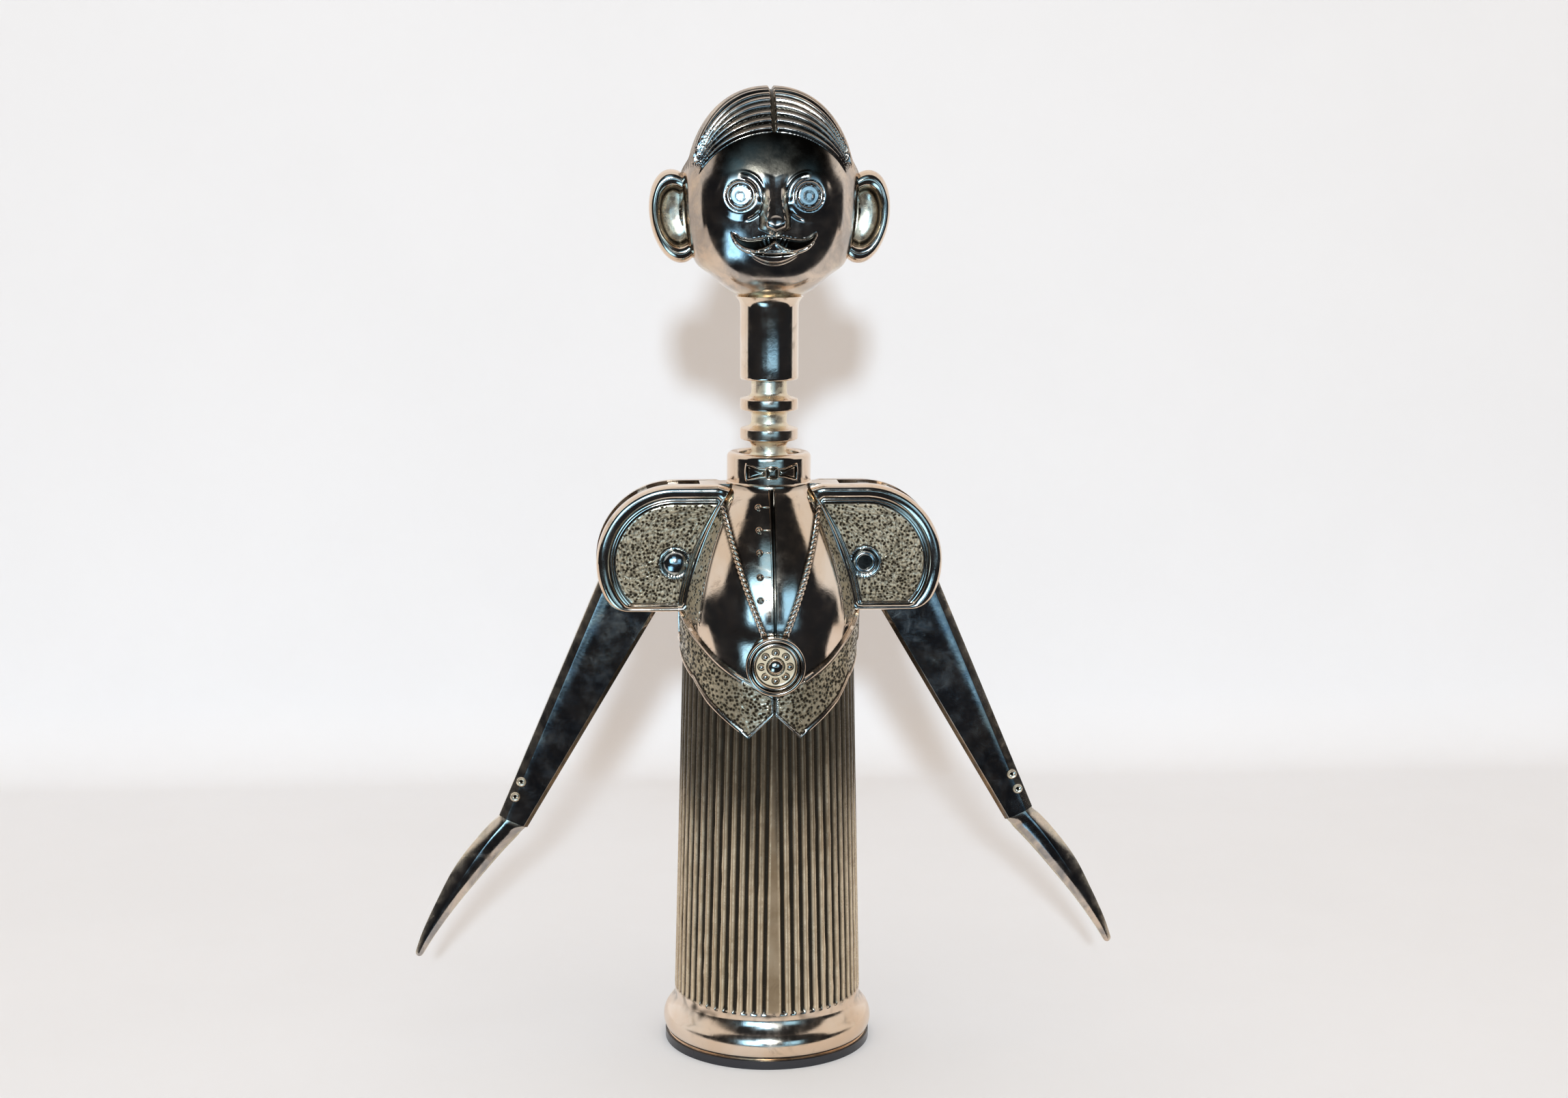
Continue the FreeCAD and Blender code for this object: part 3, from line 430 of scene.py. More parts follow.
def add_tube(bm, path, radius, sides, closed=False):
    """A round bar that follows a list of points. The list of a closed bar ends with its first point."""
    last = len(path) - 1

    def place(u, v):
        index = int(round(v * last))
        here = path[index]
        ahead = path[index % last + 1] if closed else path[min(index + 1, last)]
        behind = path[(index or last) - 1] if closed else path[max(index - 1, 0)]
        run = (ahead - behind).normalized()
        side = run.cross(Vector((0, -1, 0.02))).normalized()
        up = side.cross(run).normalized()
        thick = radius(index / last) if callable(radius) else radius
        turn = 2.0 * math.pi * u
        return here + side * (thick * math.cos(turn)) + up * (thick * math.sin(turn))

    return add_sheet(bm, sides, last, place)


def mark_creases(bm, angle):
    """Edges sharper than the angle stay sharp in smooth shading."""
    for edge in bm.edges:
        if len(edge.link_faces) == 2 and edge.calc_face_angle(0.0) > angle:
            edge.smooth = False


def add_object(bm, name, material):
    """Puts a shape with one material on the scene."""
    mesh = bpy.data.meshes.new(name)
    bm.to_mesh(mesh)
    bm.free()
    mesh.materials.append(material)
    piece = bpy.data.objects.new(name, mesh)
    bpy.context.scene.collection.objects.link(piece)
    return piece


def finish_piece(bm, name, look, *nodes, crease, body="frame", slot="silver_plate", merge=2e-3):
    """Closes the shape, scales it to metres and hands it to the frame in place of the nodes."""
    bmesh.ops.remove_doubles(bm, verts=bm.verts, dist=merge)
    bmesh.ops.dissolve_degenerate(bm, edges=bm.edges, dist=1e-5)
    bmesh.ops.holes_fill(bm, edges=[edge for edge in bm.edges if edge.is_boundary], sides=0)
    bmesh.ops.recalc_face_normals(bm, faces=bm.faces)
    bmesh.ops.scale(bm, verts=bm.verts, vec=(MM, MM, MM))
    for face in bm.faces:
        face.smooth = True
    mark_creases(bm, math.radians(crease))
    piece = add_object(bm, name, finish(look))
    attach(piece, body)
    if nodes:
        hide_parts(*nodes)


# ---- Finishes -------------------------------------------------------------------------------------

# Noise patterns: scale, detail, roughness, distortion and, for streaks, stretch.
CLOUDS = (38.0, 4.0, 0.6, 0.4)
FADING = (90.0, 5.0, 0.6)
FILM = (120.0, 8.0, 0.68, 0.8)
BLOTS = (150.0, 8.0, 0.7, 1.2)
PATCHES = (330.0, 6.0, 0.65, 0.6)
STREAKS = (300.0, 5.0, 0.6, 0.2, (1.0, 1.0, 0.07))
HAZE = (260.0, 7.0, 0.65)
SCRATCHES = (1500.0, 4.0, 0.6)
TURNING = (210.0, 6.0, 0.65)
HANDLING = (640.0, 5.0)
RUBBING = (120.0, 7.0, 0.65)
PIT_SCALE = 1250.0
SPECK_SCALE = 420.0
# Heights between which the streaks on the trousers grow stronger, in metres.
STREAKS_LOW, STREAKS_HIGH = 0.03, 0.092


class Board:
    """A node tree with short ways to add and join nodes."""

    def __init__(self, tree, place):
        self.tree = tree
        tree.nodes.clear()
        self.place = self.add("TexCoord").outputs[place]

    def put(self, socket, value):
        """Joins a socket to another node's output, or sets its value."""
        if isinstance(value, bpy.types.NodeSocket):
            self.tree.links.new(value, socket)
        elif socket.type == "RGBA":
            socket.default_value = (*value, 1.0)
        else:
            socket.default_value = value

    def add(self, kind, inputs=None, **traits):
        """A new node with its traits and inputs."""
        node = self.tree.nodes.new("ShaderNode" + kind)
        for name, value in traits.items():
            setattr(node, name, value)
        for socket, value in (inputs or {}).items():
            self.put(node.inputs[socket], value)
        return node

    def axes(self):
        """The coordinates, one by one."""
        return self.add("SeparateXYZ", {0: self.place}).outputs

    def layer(self, name):
        """One of the vertex layers."""
        return self.add("Attribute", attribute_name=name).outputs["Fac"]

    def cells(self, scale):
        """Distance to the nearest of many scattered points."""
        return self.add("TexVoronoi", {"Scale": scale, "Vector": self.place}).outputs["Distance"]

    def noise(self, scale, detail=3.0, roughness=0.55, distortion=0.0, stretch=None):
        """Cloudy noise, drawn out along an axis where stretch says so."""
        place = self.place
        if stretch is not None:
            place = self.add("Mapping", {"Scale": stretch, "Vector": place}).outputs["Vector"]
        return self.add("TexNoise", {"Scale": scale, "Detail": detail, "Roughness": roughness,
                                     "Distortion": distortion, "Vector": place}).outputs["Fac"]

    def spread(self, source, low, high, to_low=0.0, to_high=1.0, curve="SMOOTHSTEP"):
        """Maps low to to_low and high to to_high with a soft step between them."""
        limits = {"Value": source, "From Min": low, "From Max": high, "To Min": to_low, "To Max": to_high}
        return self.add("MapRange", limits, interpolation_type=curve).outputs["Result"]

    def cloud(self, pattern, *limits):
        """One of the noise patterns, spread between limits."""
        return self.spread(self.noise(*pattern), *limits)

    def maths(self, kind, first, *others):
        """One kind of arithmetic over all the values; sums and maxima stay between 0 and 1."""
        for other in others:
            first = self.add("Math", {0: first, 1: other}, operation=kind,
                             use_clamp=kind in ("ADD", "MAXIMUM")).outputs[0]
        return first

    def times(self, *values):
        """Product of values."""
        return self.maths("MULTIPLY", *values)

    def plus(self, *values):
        """Sum of values, kept between 0 and 1."""
        return self.maths("ADD", *values)

    def blend(self, share, first, second):
        """Blend of two colours."""
        return self.add("Mix", {0: share, 6: first, 7: second}, data_type="RGBA").outputs[2]

    def mix(self, share, first, second):
        """Blend of two shaders."""
        return self.add("MixShader", {0: share, 1: first, 2: second}).outputs[0]

    def bump(self, height, strength, distance, below=None):
        """Relief from a height, on top of the relief below."""
        inputs = {"Strength": strength, "Distance": distance, "Height": height}
        if below is not None:
            inputs["Normal"] = below
        return self.add("Bump", inputs).outputs["Normal"]


class Finish(Board):
    """The node tree of a new material with one Principled shader."""

    def __init__(self, name):
        self.material = bpy.data.materials.new(name)
        self.material.use_nodes = True
        super().__init__(self.material.node_tree, "Object")
        self.shader = self.add("BsdfPrincipled")
        self.output = self.add("OutputMaterial", {"Surface": self.shader.outputs["BSDF"]})

    def made(self, inputs):
        """Fills in the shader and hands out the material."""
        for name, value in inputs.items():
            self.put(self.shader.inputs[name], value)
        return self.material


def plated(name, rough, stains, film=0.0, dull=None, metal=1.0, streaks=0.0, pitting=0.9):
    """Silver plate: cloudy tone, brown stains, dark grooves and painted shade, cream tone and painted
    highlights, fine scratches and hammered grain.

    film is the share of blue grey smoke. Where the grain layer is 1 the silver has the two matt tones of
    dull and metal as its metallic share, and pitting says how deep and dark the hammer marks are.
    """
    tones = settings("finish")
    board = Finish(name)
    grain = board.layer("grain")
    pits = board.cells(PIT_SCALE)
    colour = board.blend(board.cloud(CLOUDS, 0.36, 0.66), tones.bright, tones.warm)
    if dull is not None:
        colour = board.blend(grain, colour, board.blend(board.cloud(FADING, 0.35, 0.65), *dull))
    if film > 0.0:
        colour = board.blend(board.cloud(FILM, 0.34, 0.64, 0.2 * film, film), colour, tones.smoke)
    blot = board.cloud(BLOTS, 0.56, 0.72, 0.0, stains)
    colour = board.blend(blot, colour, tones.stain)
    if streaks > 0.0:
        run = board.cloud(STREAKS, 0.36, 0.60, 0.35, streaks)
        high = board.spread(board.axes()["Z"], STREAKS_LOW, STREAKS_HIGH, 0.12, 1.0)
        colour = board.blend(board.times(run, high, grain), colour, tones.stain)
    # Cream-tinted silver, and painted highlights and reflections, where the cream layer says so.
    cream_and_painted_highlight = board.times(board.layer("cream"), board.cloud(PATCHES, 0.36, 0.62, 0.45, 1.0))
    colour = board.blend(cream_and_painted_highlight, colour, tones.cream)
    pitted = board.times(board.spread(pits, 0.50, 0.28, 0.0, pitting), grain)
    raised = board.times(board.spread(pits, 0.5, 0.66, 0.0, 0.5 * pitting), grain)
    colour = board.blend(raised, colour, tones.cream)
    # Black tarnish in grooves and pits, and painted shade where the tarnish layer carries it.
    tarnish = board.maths("MAXIMUM", board.layer("tarnish"), pitted)
    matt = board.plus(board.times(cream_and_painted_highlight, 0.4), board.times(grain, 1.0 - metal))
    cloudy = board.cloud(HAZE, 0.35, 0.7, rough * 0.75, rough * 1.6)
    specks = board.spread(board.cells(SPECK_SCALE), 0.0, 0.12)
    flat = board.bump(board.plus(board.noise(*SCRATCHES), board.times(specks, 0.25)), 0.05, 0.0002)
    hammer = board.times(board.spread(pits, 0.1, 0.5), grain)
    return board.made({
        "Base Color": board.blend(board.spread(tarnish, 0.05, 0.95), colour, tones.recess),
        "Metallic": board.spread(matt, 0.0, 1.0, 1.0, 0.0),
        "Roughness": board.plus(cloudy, board.times(tarnish, 0.08), board.times(cream_and_painted_highlight, 0.22),
                                board.times(blot, 0.25)),
        "Normal": board.bump(hammer, pitting, 0.0005, flat),
        "Specular IOR Level": board.spread(tarnish, 0.2, 0.9, 0.5, 0.05),
    })


def plain_metal(name, colour, rough):
    """Turned metal with a soft cloudy tone and fine marks."""
    board = Finish(name)
    return board.made({
        "Base Color": board.blend(board.cloud(TURNING, 0.35, 0.72), colour, settings("finish").smoke),
        "Metallic": 1.0,
        "Roughness": board.cloud(HANDLING, 0.3, 0.7, rough * 0.7, rough * 1.5),
        "Normal": board.bump(board.noise(1800.0, 3.0), 0.12, 0.0002),
    })


def moulded(name, colour, wear, rough, bumpiness):
    """Moulded plastic with a fine skin, and rubbed places that are lighter or darker by the wear."""
    board = Finish(name)
    worn = [wear * part for part in colour]
    return board.made({
        "Base Color": board.blend(board.cloud(RUBBING, 0.55, 0.75), colour, worn),
        "Roughness": board.cloud((330.0, 5.0), 0.3, 0.7, rough * 0.7, rough * 1.4),
        "Specular IOR Level": 0.06,
        "Normal": board.bump(board.noise(2200.0, 2.0), bumpiness, 0.0002),
    })


def finish(name):
    """One of the figure's finishes, made when it is first asked for."""
    if name in bpy.data.materials:
        return bpy.data.materials[name]
    tones = settings("finish")
    silver = {
        "silver_polished": {"rough": 0.10, "stains": 0.35, "dull": (tones.dull, tones.dull_warm),
                            "metal": 0.45},
        "silver_face": {"rough": 0.13, "stains": 0.3, "film": 0.6},
        "silver_fluted": {"rough": 0.16, "stains": 0.3, "dull": (tones.fluted, tones.fluted_warm),
                          "metal": 0.5, "streaks": 0.9, "pitting": 0.0},
        "silver_hammered": {"rough": 0.2, "stains": 0.3, "dull": (tones.hem, tones.hem_warm), "metal": 0.5},
        "silver_lever": {"rough": 0.11, "stains": 0.5, "film": 0.85},
        "silver_cream": {"rough": 0.12, "stains": 0.2, "dull": (tones.cream, tones.dull), "metal": 0.25,
                         "pitting": 0.0},
        "rack_brass": {"rough": 0.14, "stains": 0.35},
    }
    if name in silver:
        return plated(name, **silver[name])
    turned = {"rivet_nickel": (tones.nickel, 0.12), "worm_steel": (tones.steel, 0.2)}
    if name in turned:
        return plain_metal(name, *turned[name])
    plastic = {"black_plastic": (tones.plastic, 2.0, 0.12, 0.06), "nylon": (tones.nylon, 0.8, 0.45, 0.1)}
    return moulded(name, *plastic[name])


# ---- Trousers: fluted barrel and base ring ---------------------------------------------------------

# Where the edges of the waistcoat hem run: degrees round from the front, height in millimetres.
HEM_LOW = [(0.0, 85.4), (16.6, 79.4), (46.0, 86.8), (61.0, 91.7), (90.0, 96.8), (180.0, 97.0)]
HEM_HIGH = [(0.0, 90.1), (19.3, 93.9), (37.6, 97.7), (54.8, 102.4), (75.0, 107.0), (90.0, 108.5),
            (180.0, 109.0)]
# Outside of the chest above the waist: height, radius.
CHEST = [(70.0, 21.22), (86.0, 20.82), (95.0, 20.6), (105.5, 21.4), (115.0, 19.9), (125.2, 16.3),
         (137.5, 10.0)]
# Heights where the cords of the chain begin and end.
CHAIN_HIGH, CHAIN_LOW = 133.6, 104.3
# The barrel's bore and top, where the waistcoat hides them.
BORE, BARREL_TOP = 18.1, 102.0
# Positions of the mesh columns across one pleat, in shares of a pleat.
PLEAT_COLUMNS = (-0.5, -0.36, -0.26, -0.2, -0.12, 0.0, 0.12, 0.2, 0.26, 0.36)


def hem_low(turn):
    """Height of the lower hem edge at a turn from the front."""
    return straight_table(HEM_LOW, abs(math.degrees(turn)))


def hem_high(turn):
    """Height of the upper hem edge at a turn from the front."""
    return along_table(HEM_HIGH, abs(math.degrees(turn)))


def below_teeth(turn, radius, height):
    """The height, kept under the swinging teeth inside the slots at both sides."""
    slot = mm(settings("shoulders").slot_half)
    teeth = PIVOT.z - (PIVOT.x - LEVER_LOW.x)
    clearance, free_rise, wall = 0.4, 20.0, 0.3
    beside = ease(slot, slot + wall, radius * abs(math.cos(turn)))
    return min(height, teeth - clearance + free_rise * beside)


def around(turn, radius, height):
    """A point at a turn from the front about the figure's axis."""
    return Vector((radius * math.sin(turn), -radius * math.cos(turn), height))


def barrel_radius(height):
    """Radius of the barrel's ribs."""
    sizes = settings("trousers")
    rise = (height - mm(sizes.ring_height)) / (mm(sizes.waist_height) - mm(sizes.ring_height))
    return mm(sizes.low_radius) + rise * (mm(sizes.waist_radius) - mm(sizes.low_radius))


def barrel_rows():
    """Rows of the barrel: radius or None for the ribs, height, share of the groove depth.

    A share below 0 is how many millimetres the plain surface is drawn in.
    """
    sizes = settings("trousers")
    ring = mm(sizes.ring_radius)
    top = mm(sizes.ring_height)
    foot = GUIDE_LOW.z + 2.0
    rows = [(BORE, foot + 0.02, 0.0), (ring - 1.6, foot + 0.02, 0.0), (ring - 1.0, foot + 0.06, 0.0)]
    for step in range(17):
        turn = math.radians(-52.0 + 104.0 * step / 16)
        rows.append((ring - 3.3 + 3.3 * math.cos(turn), foot + 3.3 + 4.0 * math.sin(turn), 0.0))
    rows += [(None, top + rise, share) for rise, share in
             ((-1.9, -0.10), (-1.2, -0.03), (-0.75, 0.0), (-0.3, 0.0),
              (0.0, 0.0), (0.3, 0.45), (0.6, 0.8), (1.0, 0.95), (1.6, 1.0))]
    rows += [(None, top + 1.6 + (BARREL_TOP - top - 1.6) * step / 26.0, 1.0) for step in range(1, 27)]
    rows += [(BORE, BARREL_TOP, 0.0), (BORE, 60.0, 0.0), (BORE, foot + 0.02, 0.0)]
    return rows


def build_barrel():
    """Fluted trousers and the rolled base ring."""
    sizes = settings("trousers")
    rows = barrel_rows()
    cells = 2 * sizes.flutes + 1
    columns = len(PLEAT_COLUMNS) * cells
    depth = mm(sizes.flute_depth)
    half_groove = 0.5 * mm(sizes.flute_width)

    def place(u, v):
        column = int(round(u * columns)) % columns
        pleat = column // len(PLEAT_COLUMNS) - sizes.flutes + PLEAT_COLUMNS[column % len(PLEAT_COLUMNS)]
        fixed, height, share = rows[int(round(v * (len(rows) - 1)))]
        cut_share = max(share, 0.0)
        radius = barrel_radius(height)
        narrowed = clamp((height - 14.0) / 80.0)
        rib = mm(sizes.front_rib_low) * (1.0 - narrowed) + mm(sizes.front_rib_high) * narrowed
        first = rib / radius
        pitch = (math.pi - first) / (sizes.flutes - 0.5)

        def pleat_turn(steps):
            return steps * first if steps < 1.0 else first + (steps - 1.0) * pitch

        turn = math.copysign(pleat_turn(abs(pleat)), pleat)
        tarnish = light = 0.0
        if fixed is None:
            nearest = max(round(abs(pleat)), 1)
            away = abs(abs(turn) - pleat_turn(nearest)) * radius
            wobble = noise.noise(Vector((nearest * 3.1, height * 0.35, math.copysign(7.0, pleat))))
            cut = max(1.0 - (away / (half_groove * (1.0 + 0.22 * wobble))) ** 2, 0.0)
            flaw = noise.noise(Vector((nearest * 5.3, height * 1.3, 2.0)))
            radius -= cut_share * depth * (1.0 + 0.35 * wobble) * math.sqrt(cut)
            radius += 0.06 * swell(away - 1.2, 1.2) * cut_share + min(share, 0.0)
            tarnish = clamp(cut_share * (cut * 1.25 + 0.9 * clamp(flaw - 0.33) * (cut > 0.0)))
            # Painted highlight: a cream line along the edge of each flute, carried in the cream layer.
            light = 0.5 * swell(away - 0.82, 0.3) * cut_share
            if share <= 0.0:
                patchy = noise.noise(Vector((turn * 9.0, height * 0.4, 5.0)))
                tarnish = 0.1 + 0.9 * clamp(patchy + 0.1)
            # Painted shade: the flutes are painted darker towards the top, under the hem, along a noisy
            # edge.
            shade = noise.noise(Vector((turn * 14.0, height * 0.05, 9.0)))
            tarnish = max(tarnish, 0.72 * ease(34.0, 80.0, height + 16.0 * shade))
            under_hem = 0.5 * (hem_low(turn) + hem_high(turn))
            radius -= 1.2 * ease(under_hem - 1.5, under_hem + 1.5, height)
        else:
            radius = fixed
        height = below_teeth(turn, radius, height)
        return around(turn, radius, height), tarnish, cut_share, light

    bm = new_shape()
    add_sheet(bm, columns, len(rows) - 1, place)
    finish_piece(bm, "fluted_barrel", "silver_fluted", "body_casting", crease=60.0)


# ---- Waistcoat: chest, hem, chain, buttons, medallion, bow tie -------------------------------------

def chest_radius(height):
    """Outside radius of the waistcoat."""
    return along_table(CHEST, height)


def chest_normal(turn, height):
    """Direction out of the waistcoat."""
    slope = (chest_radius(height + 0.3) - chest_radius(height - 0.3)) / 0.6
    return Vector((math.sin(turn), -math.cos(turn), -slope)).normalized()


def on_chest(across, height, lift=0.0):
    """A point on the front of the waistcoat, lifted off it."""
    turn = math.asin(clamp(across / chest_radius(height), -1.0, 1.0))
    return around(turn, chest_radius(height), height) + chest_normal(turn, height) * lift


def chain_across(height):
    """Distance of each cord of the chain from the middle."""
    share = (CHAIN_HIGH - height) / (CHAIN_HIGH - CHAIN_LOW)
    return 11.5 - 9.0 * share + 0.75 * math.sin(math.pi * share)


def build_torso():
    """Waistcoat, its closed inside and the collar with the bush seat."""
    sizes = settings("waistcoat")
    collar, mouth = mm(sizes.collar_radius), mm(sizes.mouth_radius)
    top, bottom = BODY_HIGH.z, 77.0
    shoulder = CHEST[-1][0]
    ledge = BUSH_HIGH.z + 0.02
    cavity, floor = 18.0, 97.2
    rows = [(None, bottom + (shoulder - bottom) * step / 84.0) for step in range(85)]
    rows += rounded_profile([(collar, shoulder + 0.1, 0.0), (collar, top, 2.2), (mouth, top, 0.5),
                             (mouth, ledge, 0.0)], 8)
    rows += [(BUSH_HIGH.x, ledge), (BUSH_HIGH.x, BUSH_LOW.z), (BUSH_HIGH.x, floor), (cavity, floor),
             (cavity, bottom), (None, bottom)]

    def place(u, v):
        turn = 2.0 * math.pi * (u - 0.5)
        radius, height = rows[int(round(v * (len(rows) - 1)))]
        tarnish = grain = 0.0
        if radius is None:
            middle = 0.5 * (hem_low(turn) + hem_high(turn))
            radius = chest_radius(height) - 0.9 * ease(middle + 1.5, middle - 1.5, height)
            radius -= 0.25 * swell(height - (shoulder - 1.0), 0.8)
            side = abs(math.degrees(turn))
            inside = min(side - 52.0, 128.0 - side)
            grain = ease(0.0, 3.0, inside) * ease(134.0, 131.0, height) * ease(104.0, 108.0, height)
            border = swell(side - 51.0, 2.0) * ease(106.0, 110.0, height) * ease(134.0, 130.0, height)
            tarnish = max(0.5 * ease(shoulder - 1.6, shoulder - 0.2, height), 0.45 * grain, 0.8 * border,
                          0.7 * swell(height - hem_high(turn) - 0.3, 0.9))
            if CHAIN_LOW < height < CHAIN_HIGH and side < 70.0:
                beside = abs(radius * math.sin(turn)) - chain_across(height)
                tarnish = max(tarnish, 0.85 * ease(1.5, 0.7, abs(beside)))
        elif height < BUSH_HIGH.z + 1.5 and radius < collar - 1.0:
            tarnish = 0.9
        return around(turn, radius, height), tarnish, grain

    bm = new_shape()
    add_sheet(bm, 288, len(rows) - 1, place)
    # rolled line where the collar stands on the waistcoat
    add_turned(bm, [(collar - 0.4 + 0.62 * math.cos(turn), shoulder + 0.25 + 0.42 * math.sin(turn))
                    for turn in full_turn(12)], 128)
    finish_piece(bm, "waistcoat_and_collar", "silver_polished", "body_casting", crease=40.0)


def build_hem():
    """Hammered hem with rolled edges and a seam in front."""
    sizes = settings("waistcoat")
    relief, edge, grain = mm(sizes.hem_relief), mm(sizes.hem_edge), mm(sizes.hem_grain)
    rows, seam_half, under = 54, 0.12, 0.7

    def place(u, v):
        turn = 2.0 * math.pi * (u - 0.5)
        low = hem_low(turn)
        high = below_teeth(turn, chest_radius(102.0), hem_high(turn))
        height = low + (high - low) * min(v * rows / (rows - 2), 1.0)
        from_end = rows - v * rows
        if from_end < 1.5:
            height = high if from_end > 0.5 else low
            return around(turn, chest_radius(height) - under, height)
        radius = chest_radius(height)
        steep = 0.55 if 20.0 < abs(math.degrees(turn)) < 62.0 else 0.8
        from_edge = min(height - low, high - height) * steep
        if from_edge <= 0.01:
            return around(turn, radius - under, height)
        seam = abs(turn) * radius if abs(turn) < 1.0 else 9.0
        rolled = max(bead(from_edge - 0.5 * edge, 0.55 * edge), bead(seam - 0.45, 0.4))
        field = ease(edge * 0.9, edge * 1.3, min(from_edge, seam))
        rough = hammered(around(turn, radius, height), grain)
        lift = relief * (0.62 + 0.5 * rolled * (1.0 - field)) + field * 0.13 * (rough - 0.4)
        tarnish = 0.25 * field * (1.3 - rough) + 0.75 * swell(from_edge - edge * 1.1, 0.25)
        if seam < seam_half:
            lift -= 0.3
            tarnish += 0.8
        return around(turn, radius + lift, height), clamp(tarnish), field

    bm = new_shape()
    add_sheet(bm, 480, rows, place)
    finish_piece(bm, "waistcoat_hem", "silver_hammered", "body_casting", crease=70.0)


# Half of the placket's section and back: share of the half width, lift off the chest.
PLACKET_SECTION = ((-1.0, -0.3), (-1.0, 0.1), (-0.86, 0.38), (-0.6, 0.38), (-0.42, 0.1), (-0.2, 0.05),
                   (0.2, 0.05), (0.42, 0.1), (0.6, 0.38), (0.86, 0.38), (1.0, 0.1), (1.0, -0.3))
PLACKET_LOW, PLACKET_HIGH = 90.5, 136.9
BUTTON_ACROSS = -3.3
BUTTON_HEIGHTS = (133.0, 128.0, 123.0, 117.6, 112.4)


def build_shirt_front():
    """Placket, ring buttons with their buttonholes."""
    sizes = settings("waistcoat")
    half = 0.5 * mm(sizes.placket)
    bm = new_shape()

    def place_strip(u, v):
        across, lift = PLACKET_SECTION[int(round(u * (len(PLACKET_SECTION) - 1)))]
        height = PLACKET_LOW + (PLACKET_HIGH - PLACKET_LOW) * v
        taper = 0.72 + 0.28 * v
        tarnish = 0.85 if abs(across) < 0.5 or lift < 0.0 else 0.0
        return on_chest(across * half * taper * 1.5, height, lift), tarnish

    add_sheet(bm, len(PLACKET_SECTION) - 1, 80, place_strip)
    button, wire = mm(sizes.button), mm(sizes.button_wire)
    for height in BUTTON_HEIGHTS:
        normal = chest_normal(math.asin(BUTTON_ACROSS / chest_radius(height)), height)
        side = Vector((0, 0, 1)).cross(normal).normalized()
        up = normal.cross(side)
        middle = on_chest(BUTTON_ACROSS, height, 0.0)
        ring = [middle + (side * math.cos(turn) + up * math.sin(turn)) * (button - wire) + normal * 0.12
                for turn in full_turn(24)]
        add_tube(bm, ring, wire * 1.5, 8, closed=True)
        groove = [middle + (spot - middle) * 1.3 - normal * 0.14 for spot in ring]
        darken(bm, add_tube(bm, groove, 0.2, 6, closed=True), 0.95)
        for vert in add_ball(bm, (0, 0, 0), 0.22, 10, (1, 1, 0.7)):
            vert.co = middle + normal * (0.05 + vert.co.z) + side * vert.co.x + up * vert.co.y
        hole = [on_chest(-2.45 + 0.155 * step, height + 0.1, 0.08) for step in range(13)]
        add_tube(bm, hole, lambda share: 0.17 * math.sqrt(max(4.0 * share * (1.0 - share), 0.02)), 8)
    finish_piece(bm, "shirt_front", "silver_polished", crease=45.0, merge=1e-3)


def build_chain():
    """Two twisted cords that carry the medallion."""
    sizes = settings("waistcoat")
    strand, twist = mm(sizes.chain_strand), mm(sizes.chain_twist)
    count = 400
    bm = new_shape()
    for side in (-1, 1):
        line = []
        for step in range(count + 1):
            height = CHAIN_HIGH + (CHAIN_LOW - CHAIN_HIGH) * step / count
            line.append(on_chest(side * chain_across(height), height, 0.3))
        length = sum((b - a).length for a, b in zip(line, line[1:]))
        verts = []
        for phase in (0.0, math.pi):
            path = []
            for index, point in enumerate(line):
                run = (line[min(index + 1, count)] - line[max(index - 1, 0)]).normalized()
                level = run.cross(Vector((point.x, point.y, 0)).normalized()).normalized()
                out = level.cross(run)
                turn = phase + side * 2.0 * math.pi * length * index / count / twist
                path.append(point + (out * math.cos(turn) + level * math.sin(turn)) * strand * 0.85)
            verts += add_tube(bm, path, strand, 8)
        for vert in verts:
            fallen = (line[0].z - vert.co.z) / (line[0].z - line[-1].z)
            beside = (vert.co - line[int(round(clamp(fallen) * count))]).length
            colour_in(bm, vert, (0.95 * ease(1.25 * strand, 0.75 * strand, beside),))
    finish_piece(bm, "neck_chain", "silver_polished", crease=80.0, merge=1e-3)


